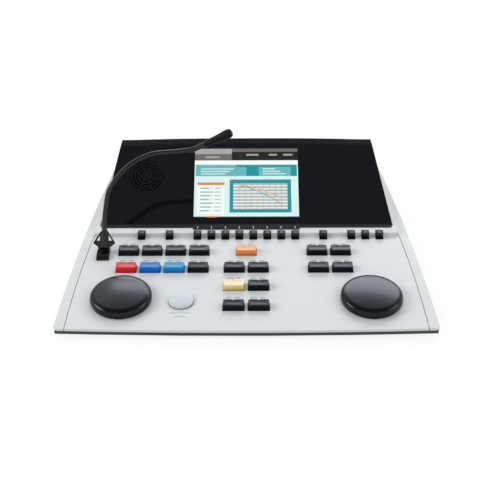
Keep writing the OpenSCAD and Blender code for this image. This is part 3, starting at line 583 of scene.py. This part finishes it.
class AudiometerSizes(bpy.types.PropertyGroup):
    """Sizes of the dressed pieces"""

    key_width: length_setting("Key width", "Width of a key at its foot", 0.021)
    key_depth: length_setting("Key depth", "Depth of a key at its foot", 0.0115)
    key_height: length_setting("Key height", "Height over the deck", 0.0064)
    key_corner: length_setting("Key corner", "Radius of a key's corners", 0.0012)
    edge: length_setting("Edge", "Radius of the casing's edges", 0.0004)
    seam: length_setting("Seam", "Radius of the edges along the seams", 0.0009)
    crease: length_setting("Front crease", "Radius of the front edge", 0.0014)
    brow: length_setting("Brow", "Radius of the hood's crest", 0.005)


class AudiometerStage(bpy.types.PropertyGroup):
    """Camera and light"""

    lens: FloatProperty(name="Lens", description="Focal length in mm", default=73.8)
    place: FloatVectorProperty(
        name="Camera", description="Camera position over the key deck",
        default=(0.0032, -0.6896, 0.6187), unit="LENGTH",
    )
    turn: FloatVectorProperty(
        name="Aim", description="Turns of the camera over the key deck",
        default=(0.93036, 0.01344, -0.00359), subtype="EULER",
    )
    walls: FloatProperty(
        name="Walls", description="Strength of the even light from the sides", default=0.74
    )
    ceiling: FloatProperty(
        name="Ceiling", description="Strength of the light from straight above", default=0.22
    )
    lamp: FloatProperty(name="Lamp", description="Power of a whole lamp in watts", default=9.0)


# ---------------------------------------------------------------- pieces

class AUDIOMETER_OT_casing(bpy.types.Operator):
    """Rounds and paints the deck, rails, tray, feet and screws"""

    bl_idname = "audiometer.casing"
    bl_label = "Casing"

    def execute(self, context):
        sizes = context.scene.audiometer_sizes
        edge, crease, seam = sizes.edge / MM, sizes.crease / MM, sizes.seam / MM
        to_deck = DECK.inverted()

        def front_edge(a, b):
            """Softer edges: the seams, and the crease along the front and outside the rails."""
            p, q = to_deck @ a, to_deck @ b
            if max(abs(p.z), abs(q.z)) > 0.05:
                return None  # not on the face of the deck
            inner, behind = min(abs(p.x), abs(q.x)), min(p.y, q.y)
            if inner > SEAM_REAR - 2 and abs(abs(p.x) - seam_at(p.y)) < 1.5 and behind > 0.5:
                return seam
            return crease if max(p.y, q.y) < 0.5 or inner > SEAM_REAR + 2 else None

        for node, name in (("top_casing", "casing"), ("left_rail", "rail"), ("right_rail", "rail")):
            piece = rounded_node(node, node + "_moulded", edge, wide=front_edge)
            dress(piece, "casing", [node], [name])
        # plain dashes stand where the labels are: two behind each key, two before the talk button
        dashes = bmesh.new()
        for row, (v, places) in enumerate(KEY_ROWS):
            low, high = v + 19.2, v + 20.3
            for k, slot_u in enumerate(places):
                u, longer = slot_u * KEY_PITCH, (row + k) % 3
                plate(dashes, (u - 7.5, low, u - 2.5 + longer, high), 0.02)
                plate(dashes, (u + 0.5 + longer, low, u + 6.5, high), 0.02)
        for half, v in ((10.5, 21.6), (6.0, 16.6)):
            plate(dashes, (TALK_U - half, v, TALK_U + half, v + 0.7), 0.02)
        marks = from_bmesh("deck_marks_printed", dashes, DECK)
        dress(marks, "casing", [], ["ink_grey"])
        tray = rounded_node("bottom_tray", "bottom_tray_moulded", 0.3, 2)
        dress(tray, "casing", ["bottom_tray"], ["tray"])
        feet = rounded_node("rubber_feet", "rubber_feet_moulded", 0.4, 2)
        dress(feet, "casing", ["rubber_feet"], ["rubber"])
        screws = rounded_node("case_screws", "case_screws_turned", 0.08, 2)
        dress(screws, "casing", ["case_screws"], ["nickel"])
        return {"FINISHED"}


# half the width between the seams at the front, at the riser and at the rear
SEAM_FRONT, SEAM_RISER, SEAM_REAR = 172.2, 161.8, 146.0


def seam_at(v):
    """Half the width of the deck between its seams, in millimetres."""
    share = v / RISER_V
    if share < 1:
        bow = 6.8 * share * (1 - share)
        return SEAM_FRONT - (SEAM_FRONT - SEAM_RISER) * share + bow
    return SEAM_RISER - (SEAM_RISER - SEAM_REAR) * (v - RISER_V) / 146.3


class AUDIOMETER_OT_hood(bpy.types.Operator):
    """Rounds and paints the display hood and prints the ticks over the soft keys"""

    bl_idname = "audiometer.hood"
    bl_label = "Display hood"

    def execute(self, context):
        brow = context.scene.audiometer_sizes.brow / MM
        to_face, to_deck = FACE.inverted(), DECK.inverted()

        def upper_edge(a, b):
            """Outer edges of the hood are rounded, its window and slots stay crisp."""
            p, q = to_face @ a, to_face @ b
            low = min((to_deck @ a).z, (to_deck @ b).z)
            if low > CREST_W - 1:
                return brow
            if min(abs(p.x), abs(q.x)) > HOOD_HALF and low > SHELF_W + 3:
                return brow * 0.3
            return None

        hood = rounded_node(
            "display_hood", "display_hood_moulded", 0.25, wide=upper_edge, from_angle=9
        )
        arch(hood.data)
        # the hood's foot and tab take the darker, duller copy, as painted shade
        for face in hood.data.polygons:
            at = to_deck @ face.center
            face.material_index = int(at.y < SHELF_V + 0.2)
        dress(hood, "casing", ["display_hood"], ["hood", "hood_lip_painted_shade"])
        ticks = bmesh.new()
        for slot_at in range(4, 12):
            u = (slot_at - SOFT_MIDDLE) * SOFT_PITCH
            plate(ticks, (u - 0.4, -4.6, u + 0.4, -1.4), 0.03)
        over_tab = Matrix.Translation((0, SHELF_V, SHELF_W + 0.8))
        tab = DECK @ over_tab @ Matrix.Rotation(SHELF_TILT, 4, "X")
        piece = from_bmesh("tick_marks_printed", ticks, tab)
        dress(piece, "casing", [], ["ink_white"])
        return {"FINISHED"}


def arch(mesh):
    """Bows the crest of the hood, so that its corners lie lower than its middle."""
    bm = bmesh.new()
    bm.from_mesh(mesh)
    for u in range(-120, 121, 15):
        every = bm.verts[:] + bm.edges[:] + bm.faces[:]
        bmesh.ops.bisect_plane(
            bm, geom=every, dist=1e-6, plane_co=(u * MM, 0, 0), plane_no=(1, 0, 0)
        )
    to_deck, foot = DECK.inverted(), SHELF_W + 6
    for vert in bm.verts:
        at = to_deck @ vert.co
        if at.z > foot:
            outward, upward = min(abs(at.x) / HOOD_HALF, 1), (at.z - foot) / (CREST_W - foot)
            at.z -= CREST_DROP * outward ** 3 * upward
            vert.co = DECK @ at
    bm.to_mesh(mesh)
    bm.free()


def plate(bm, area, height, mark=0, thick=0.03):
    """A thin flat patch x0, y0, x1, y1 whose top lies at the height."""
    x0, y0, x1, y1 = area
    corners = ((x0, y0), (x1, y0), (x1, y1), (x0, y1))
    low = [bm.verts.new((x, y, height - thick)) for x, y in corners]
    top = [bm.verts.new((x, y, height)) for x, y in corners]
    bm.faces.new(top).material_index = mark
    for i in range(4):
        j = (i + 1) % 4
        bm.faces.new((low[i], low[j], top[j], top[i])).material_index = mark


class AUDIOMETER_OT_display(bpy.types.Operator):
    """Draws the lit picture, the module behind it and the clear pane"""

    bl_idname = "audiometer.display"
    bl_label = "Display"

    def execute(self, context):
        inks = list(LIT)
        bm = bmesh.new()
        width, height, start = WINDOW

        def area(x0, y0, x1, y1, ink, layer):
            """A patch in shares of the picture from its lower left corner, 0.02 mm a layer."""
            left, right = width * (x0 - 0.5), width * (x1 - 0.5)
            box = (left, start + height * y0, right, start + height * y1)
            plate(bm, box, -HOOD_WALL + 0.02 * layer, inks.index(ink), 0.01)

        area(0, 0, 1, 1, "lit_pale", 0)
        # head bar: a black field with short light marks beside a grey one
        area(0, 0.83, 1, 1, "lit_black", 1)
        area(0.0, 0.83, 0.36, 1, "lit_tab", 2)
        area(0.0, 0.925, 0.36, 1, "lit_bar", 3)
        area(0.36, 0.955, 1, 1, "lit_tab", 3)
        for x0, x1, y in (
            (0.08, 0.2, 0.935), (0.1, 0.24, 0.865), (0.5, 0.62, 0.9), (0.72, 0.8, 0.9),
            (0.86, 0.95, 0.9),
        ):
            area(x0, y, x1, y + 0.025, "lit_bar", 4)
        area(0, 0.775, 1, 0.83, "lit_white", 1)
        # level band: pale blocks over a soft teal field, with a strong teal edge
        area(0.01, 0.6, 0.99, 0.765, "lit_mid", 1)
        area(0.4, 0.735, 0.99, 0.765, "lit_teal", 2)
        area(0.5, 0.6, 0.62, 0.735, "lit_teal", 2)
        area(0.93, 0.6, 0.99, 0.735, "lit_teal", 2)
        for k in range(3):
            y = 0.625 + 0.036 * k
            area(0.06, y, 0.30 + 0.04 * k, y + 0.015, "lit_pale", 3)
            area(0.66, y, 0.88 - 0.05 * k, y + 0.015, "lit_pale", 3)
        # chart panel with its grid on grey paper
        area(0.34, 0.08, 0.93, 0.55, "lit_teal", 1)
        area(0.375, 0.125, 0.895, 0.495, "lit_grey", 2)
        for k in range(8):
            y = 0.145 + 0.045 * k
            area(0.375, y - 0.006, 0.895, y + 0.006, "lit_white", 3)
        for k in range(1, 9):
            x = 0.375 + 0.52 * k / 9
            area(x - 0.002, 0.125, x + 0.002, 0.495, "lit_row", 3)
        ears = {
            "lit_teal": (0.44, 0.45, 0.42, 0.39, 0.34, 0.31, 0.25, 0.2),
            "lit_orange": (0.47, 0.46, 0.44, 0.43, 0.39, 0.35, 0.33, 0.28),
        }
        steps = 6  # of the line from one mark to the next
        for ink, line in ears.items():
            marks = [(0.375 + 0.52 * (k + 1) / 9, y) for k, y in enumerate(line)]
            for x, y in marks:
                area(x - 0.009, y - 0.011, x + 0.009, y + 0.011, ink, 5)
                area(x - 0.005, y - 0.006, x + 0.005, y + 0.006, "lit_white", 6)
            for (xa, ya), (xb, yb) in zip(marks, marks[1:]):
                for k in range(steps):
                    x = xa + (xb - xa) * k / steps
                    y = ya + (yb - ya) * (k + 0.5) / steps
                    area(x, y - 0.005, x + (xb - xa) / steps, y + 0.005, ink, 4)
        # list panel on the left with an orange head
        area(0.03, 0.06, 0.29, 0.5, "lit_white", 1)
        area(0.03, 0.47, 0.29, 0.51, "lit_orange", 2)
        for k in range(7):
            y = 0.09 + 0.053 * k
            area(0.05, y, 0.27, y + 0.034, "lit_pale", 2)
            area(0.06, y + 0.009, 0.14 + 0.02 * (k % 3), y + 0.022, "lit_row", 3)
            area(0.2, y + 0.009, 0.25, y + 0.022, "lit_grey", 3)
        area(0, 0, 1, 0.024, "lit_deep", 1)
        area(0.12, 0.0, 0.22, 0.03, "lit_orange", 2)
        picture = from_bmesh("lcd_picture", bm, FACE)
        dress(picture, "casing", [], inks)
        module = rounded_node("lcd_module", "lcd_module_case", 0.3, 2)
        dress(module, "casing", ["lcd_module"], ["nickel"])
        pane = bmesh.new()
        bmesh.ops.create_cube(pane, size=1.0)
        thick = 1.2
        size = Matrix.Diagonal((width - 0.2, height - 0.2, thick, 1))
        middle = Matrix.Translation((0, start + height / 2, -thick))
        bmesh.ops.transform(pane, matrix=middle @ size, verts=pane.verts)
        bmesh.ops.bevel(pane, geom=list(pane.edges), offset=0.25, segments=2, affect="EDGES")
        sheet = from_bmesh("display_pane", pane, FACE)
        dress(sheet, "casing", ["display_window"], ["pane"])
        return {"FINISHED"}


class AUDIOMETER_OT_keys(bpy.types.Operator):
    """Moulds the push keys"""

    bl_idname = "audiometer.keys"
    bl_label = "Push keys"

    def execute(self, context):
        sizes = context.scene.audiometer_sizes
        width, depth = sizes.key_width / MM, sizes.key_depth / MM
        height, corner = sizes.key_height / MM, sizes.key_corner / MM
        for row, (v, places) in enumerate(KEY_ROWS, 1):
            for place, slot_u in enumerate(places, 1):
                node = f"key_{row}_{place}"
                plastic = "key_" + KEY_COLOURS.get((row, place), "black")
                at = DECK @ Matrix.Translation((slot_u * KEY_PITCH, v, 0))
                rings = key_rings(width, depth, height, corner)
                cap = loft(node + "_cap", rings, at, 40, SKIRT_RINGS)
                dress(cap, node, [node], [plastic + "_skirt", plastic])
                lens = bmesh.new()
                plate(lens, (-1.3, depth - 2.6, 1.3, depth - 1.5), height + 0.01, thick=0.3)
                lens = from_bmesh(node + "_lens", lens, at)
                dress(lens, node, [], ["lens"])
        return {"FINISHED"}


SKIRT_RINGS = 5  # rings of a key cap up to where its skirt ends
KEY_EDGE = 1.0  # radius round the top of a key
KEY_DRAFT = 0.45  # how far each flank leans in over the skirt's height
KEY_CUT = 2.6  # how far a key reaches down through the deck


def key_rings(width, depth, height, corner):
    """Rings of a key cap: a straight skirt, drafted sides, a rounded edge and a dished top."""
    front_h = height * 0.95

    def top(y):
        return front_h + (height - front_h) * min(max((y - 0.8) / (depth - 1.7), 0), 1)

    def side(t, inset, level):
        """The ring at share t of the draft, set in further, at level(y) over the deck."""
        wide = width - 2 * KEY_DRAFT * t - 2 * inset
        front, rear = 0.8 * t + inset, depth - 0.9 * t - inset
        return rounded_ring(wide, front, rear, max(corner - inset * 0.6, 0.25), level, 4)

    rings = [side(0, 0, lambda y: -KEY_CUT), side(0, 0, lambda y: 0.0)]
    for t in (0.35, 0.7):
        rings.append(side(t, 0, lambda y, t=t: (top(y) - KEY_EDGE) * t / 0.9))
    for k in range(6):
        a = math.radians(90 * k / 5)
        inset, lift = KEY_EDGE * (1 - math.cos(a)), KEY_EDGE * (math.sin(a) - 1)
        rings.append(side(0.95, inset, lambda y, lift=lift: top(y) + lift))
    for inset, dip in ((1.8, 0.05), (2.8, 0.12), (4.0, 0.18)):
        rings.append(side(0.95, inset, lambda y, dip=dip: top(y) - dip))
    return rings


class AUDIOMETER_OT_soft_keys(bpy.types.Operator):
    """Rounds the small domed keys"""

    bl_idname = "audiometer.soft_keys"
    bl_label = "Soft keys"

    def execute(self, context):
        width, depth, height = SOFT_SIZE
        for i, slot_at in enumerate(SOFT_SLOTS, 1):
            node = f"soft_key_{i:02d}"
            at = DECK @ Matrix.Translation(((slot_at - SOFT_MIDDLE) * SOFT_PITCH, SOFT_V, 0))
            piece = loft(node + "_cap", soft_rings(width, depth, height), at, 50, SOFT_SKIRT_RINGS)
            dress(piece, node, [node], ["soft_skirt_painted_shade", "soft_key"])
        return {"FINISHED"}


SOFT_SKIRT_RINGS = 4  # rings of a soft key up to where its glossy crown starts
SOFT_CROWN, SOFT_CORNER = 2.7, 3.3


def soft_rings(width, depth, height):
    """Rings of a soft key: an upright oval block with a dome that falls off to the shelf."""

    def ring(inset, lift):
        wide = width - 2 * inset
        radius = min(SOFT_CORNER - 0.6 * inset, wide / 2 - 0.05, depth / 2 - inset - 0.05)
        fall = 0.045 if lift > 0 else 0
        return rounded_ring(
            wide, inset, depth - inset, max(radius, 0.2),
            lambda y: lift - fall * max(y - depth * 0.42, 0) ** 2, 6,
        )

    shoulder = height - SOFT_CROWN
    rings = [ring(0.0, -2.4), ring(0.0, 0.0), ring(0.0, shoulder)]
    for k in range(1, 8):
        a = math.radians(90 * k / 7)
        rings.append(ring(SOFT_CROWN * (1 - math.cos(a)), shoulder + SOFT_CROWN * math.sin(a)))
    rings.append(ring(SOFT_CORNER, height))
    return rings


class AUDIOMETER_OT_dials(bpy.types.Operator):
    """Turns the two level dials"""

    bl_idname = "audiometer.dials"
    bl_label = "Dials"

    def execute(self, context):
        r, h, dome = DIAL_R, DIAL_H, 1.5
        profile = [(r - 2.6, 0.6), (r - 0.9, 0.5), (r - 0.35, 0.8), (r - 0.05, 1.6), (r, 2.6)]
        for k in range(1, 11):
            a = math.radians(84 * k / 10)
            inward, lift = 5.0 * (1 - math.cos(a)) ** 1.15, (h - dome - 3.0) * math.sin(a)
            profile.append((r - inward, 2.8 + lift))
        for k in range(11):
            left = 1 - k / 10
            profile.append(((r - 5.2) * left, h - dome * left ** 2))
        for side, node in ((-1, "left_dial"), (1, "right_dial")):
            dial = lathe(
                node + "_turned", profile, DECK @ Matrix.Translation((side * DIAL_U, DIAL_V, 0)),
                128, 30, lambda radius, height: radius < DIAL_R - 5,
            )
            dress(dial, node, [node], ["dial_rim", "dial_top"])
        return {"FINISHED"}


class AUDIOMETER_OT_talk(bpy.types.Operator):
    """Turns the talk button"""

    bl_idname = "audiometer.talk"
    bl_label = "Talk button"

    def execute(self, context):
        r, h = TALK_R, TALK_H
        profile = [(r - 0.4, -2.4), (r - 0.05, -1.5), (r, 0.6), (r, h - 1.6)]
        for degrees in (20, 40, 60, 80):
            a = math.radians(degrees)
            profile.append((r - 1.3 * (1 - math.cos(a)), h - 1.6 + 1.3 * math.sin(a)))
        profile += [(r - 2.2, h - 0.2), (r * 0.6, h - 0.06), (r * 0.3, h), (0, h)]
        # the rim from below the deck up to 0.6 mm over it is dark grey, as painted shade
        button = lathe(
            "talk_button_cap", profile, DECK @ Matrix.Translation((TALK_U, TALK_V, 0)), 96, 50,
            lambda radius, height: height < 0,
        )
        dress(button, "talk_button", ["talk_button"], ["button", "button_rim_painted_shade"])
        return {"FINISHED"}


class AUDIOMETER_OT_microphone(bpy.types.Operator):
    """Shapes the microphone's base, collar, gooseneck and capsule"""

    bl_idname = "audiometer.microphone"
    bl_label = "Microphone"

    def execute(self, context):
        base = rounded_node("mic_base", "mic_base_moulded", 0.6)
        dress(base, "casing", ["mic_base"], ["foot"])
        collar = rounded_node("mic_collar", "mic_collar_moulded", 0.5)
        dress(collar, "microphone", ["mic_collar"], ["foot"])
        neck = tube("gooseneck_sleeve", bent(NECK_CORNERS, NECK_REACH), NECK_R, DECK)
        dress(neck, "microphone", ["mic_gooseneck"], ["sleeve"])
        tip, before = Vector(NECK_CORNERS[-1]), Vector(NECK_CORNERS[-2])
        turn = (tip - before).to_track_quat("Z", "Y").to_matrix().to_4x4()
        head = lathe(
            "capsule_turned", HEAD_OUTLINE, DECK @ Matrix.Translation(tip) @ turn, 48, 50,
            lambda radius, height: height > GRILLE_FROM,
        )
        dress(head, "microphone", ["mic_capsule"], ["head", "capsule"])
        return {"FINISHED"}


class AUDIOMETER_OT_rear(bpy.types.Operator):
    """Rounds and paints the rear plate and its connectors"""

    bl_idname = "audiometer.rear"
    bl_label = "Rear connectors"

    def execute(self, context):
        for node, slot, name, edge in (
            ("rear_plate", "tray_grey", "plate", 0.15),
            ("jack_sockets", "connector_black", "connector", 0.2),
            ("power_inlet", "connector_black", "connector", 0.25),
            ("usb_port", "metal", "nickel", 0.15),
            ("switch_frame", "connector_black", "connector", 0.25),
        ):
            dress(rounded_node(node, node + "_fitted", edge, 2), "casing", [node], [name])
        rocker = rounded_node("power_rocker", "power_rocker_cap", 0.4)
        dress(rocker, "power_rocker", ["power_rocker"], ["connector"])
        return {"FINISHED"}


class AUDIOMETER_OT_inside(bpy.types.Operator):
    """Paints the parts inside the casing"""

    bl_idname = "audiometer.inside"
    bl_label = "Inside"

    def execute(self, context):
        for node, name in (
            ("monitor_speaker", "speaker"), ("main_board", "board"), ("key_board", "board"),
            ("key_membrane", "membrane"), ("dial_encoders", "nickel"),
        ):
            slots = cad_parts[node].data.materials
            slots.clear()
            slots.append(finish(name))
        return {"FINISHED"}


def background_ray(tree):
    """1 for rays that should see the white background: camera, gloss and clear pane."""
    path = add(tree, "ShaderNodeLightPath").outputs
    seen = path["Is Camera Ray"]
    for kind in ("Is Glossy Ray", "Is Transmission Ray"):
        seen = add(
            tree, "ShaderNodeMath", {"operation": "MAXIMUM"}, _0=seen, _1=path[kind]
        ).outputs[0]
    return seen


# lamps: share of the power, width and height in metres, and place
LAMPS = {
    "lamp_behind": (0.9, 1.4, 0.6, (0.25, 1.3, 0.95)),
    "lamp_left": (0.95, 0.7, 0.7, (-1.25, -0.1, 0.85)),
    "lamp_right": (0.42, 0.7, 0.7, (1.25, -0.1, 0.85)),
}
LAMP_AIM = Vector((0, 0, 0.03))


class AUDIOMETER_OT_stage(bpy.types.Operator):
    """Builds the floor, the lights and the camera"""

    bl_idname = "audiometer.stage"
    bl_label = "Stage"

    def execute(self, context):
        stage = context.scene.audiometer_stage
        floor_mesh = bmesh.new()
        bmesh.ops.create_grid(floor_mesh, x_segments=1, y_segments=1, size=4.0)
        floor = from_bmesh("floor", floor_mesh)
        material, tree = new_material("paper_white_matt")
        seen = background_ray(tree)
        grain = add(tree, "ShaderNodeTexNoise", Scale=per_metre(4))
        tint = add(
            tree, "ShaderNodeMix", {"data_type": "RGBA"}, _0=grain.outputs["Fac"],
            _6=(0.84, 0.84, 0.84, 1), _7=(0.86, 0.86, 0.86, 1),
        )
        matt = add(tree, "ShaderNodeBsdfDiffuse", Color=tint.outputs[2])
        glow = add(tree, "ShaderNodeEmission", Color=(1, 1, 1, 1), Strength=1.06)
        share = add(tree, "ShaderNodeMath", {"operation": "MULTIPLY"}, _0=seen, _1=0.8)
        mixed = add(
            tree, "ShaderNodeMixShader", _0=share.outputs[0], _1=matt.outputs[0],
            _2=glow.outputs[0],
        )
        add(tree, "ShaderNodeOutputMaterial", Surface=mixed.outputs[0])
        floor.data.materials.append(material)

        world = bpy.data.worlds.new("studio")
        context.scene.world = world
        world.use_nodes = True
        tree = world.node_tree
        tree.nodes.clear()
        place = add(tree, "ShaderNodeTexCoord").outputs["Generated"]
        height = add(tree, "ShaderNodeSeparateXYZ", Vector=place).outputs["Z"]
        # the studio darkens overhead; metal and gloss see its white walls below that
        ceiling = add(
            tree, "ShaderNodeMapRange", {"interpolation_type": "SMOOTHSTEP"}, _0=height,
            _1=0.64, _2=0.95,
        )
        walls = add(tree, "ShaderNodeMix", _0=background_ray(tree), _2=stage.walls, _3=1.0)
        level = add(
            tree, "ShaderNodeMix", _0=ceiling.outputs[0], _2=walls.outputs[0], _3=stage.ceiling
        )
        camera_ray = add(tree, "ShaderNodeLightPath").outputs["Is Camera Ray"]
        shown = add(tree, "ShaderNodeMix", _0=camera_ray, _2=level.outputs[0], _3=1.0)
        light = add(tree, "ShaderNodeBackground", Color=(1, 1, 1, 1), Strength=shown.outputs[0])
        add(tree, "ShaderNodeOutputWorld", Surface=light.outputs[0])

        for name, (share, width, height, place) in LAMPS.items():
            data = bpy.data.lights.new(name, "AREA")
            data.energy = stage.lamp * share
            data.shape = "RECTANGLE"
            data.size, data.size_y = width, height
            thing = bpy.data.objects.new(name, data)
            context.scene.collection.objects.link(thing)
            thing.location = place
            thing.rotation_euler = (LAMP_AIM - Vector(place)).to_track_quat("-Z", "Y").to_euler()

        data = bpy.data.cameras.new("camera")
        data.sensor_width = 36.0
        data.lens = stage.lens
        data.clip_start = 0.01
        camera = bpy.data.objects.new("camera", data)
        context.scene.collection.objects.link(camera)
        x, y, z = stage.turn
        spin = Matrix.Rotation(z, 4, "Z") @ Matrix.Rotation(x, 4, "X") @ Matrix.Rotation(y, 4, "Y")
        camera.matrix_world = DECK_PLACE @ Matrix.Translation(stage.place) @ spin
        context.scene.camera = camera
        context.scene.view_settings.view_transform = "Standard"
        return {"FINISHED"}


STEPS = (
    AUDIOMETER_OT_stage, AUDIOMETER_OT_casing, AUDIOMETER_OT_hood, AUDIOMETER_OT_display,
    AUDIOMETER_OT_keys, AUDIOMETER_OT_soft_keys, AUDIOMETER_OT_dials, AUDIOMETER_OT_talk,
    AUDIOMETER_OT_microphone, AUDIOMETER_OT_rear, AUDIOMETER_OT_inside,
)


class AUDIOMETER_PT_panel(bpy.types.Panel):
    """Lists the steps that dress the audiometer"""

    bl_label = "Audiometer"
    bl_idname = "AUDIOMETER_PT_panel"
    bl_space_type = "VIEW_3D"
    bl_region_type = "UI"
    bl_category = "Audiometer"

    def draw(self, context):
        scene = context.scene
        for group in (scene.audiometer_colours, scene.audiometer_sizes, scene.audiometer_stage):
            box = self.layout.box()
            for name in group.bl_rna.properties.keys():
                if name not in ("rna_type", "name"):
                    box.prop(group, name)
        for step in STEPS:
            self.layout.operator(step.bl_idname)


GROUPS = (AudiometerColours, AudiometerSizes, AudiometerStage)


def register():
    for made in GROUPS + STEPS + (AUDIOMETER_PT_panel,):
        bpy.utils.register_class(made)
    bpy.types.Scene.audiometer_colours = PointerProperty(type=AudiometerColours)
    bpy.types.Scene.audiometer_sizes = PointerProperty(type=AudiometerSizes)
    bpy.types.Scene.audiometer_stage = PointerProperty(type=AudiometerStage)


def unregister():
    del bpy.types.Scene.audiometer_colours
    del bpy.types.Scene.audiometer_sizes
    del bpy.types.Scene.audiometer_stage
    for made in reversed(GROUPS + STEPS + (AUDIOMETER_PT_panel,)):
        bpy.utils.unregister_class(made)


def main():
    register()
    for step in STEPS:
        group, name = step.bl_idname.split(".")
        getattr(getattr(bpy.ops, group), name)()


if __name__ == "__main__":
    main()
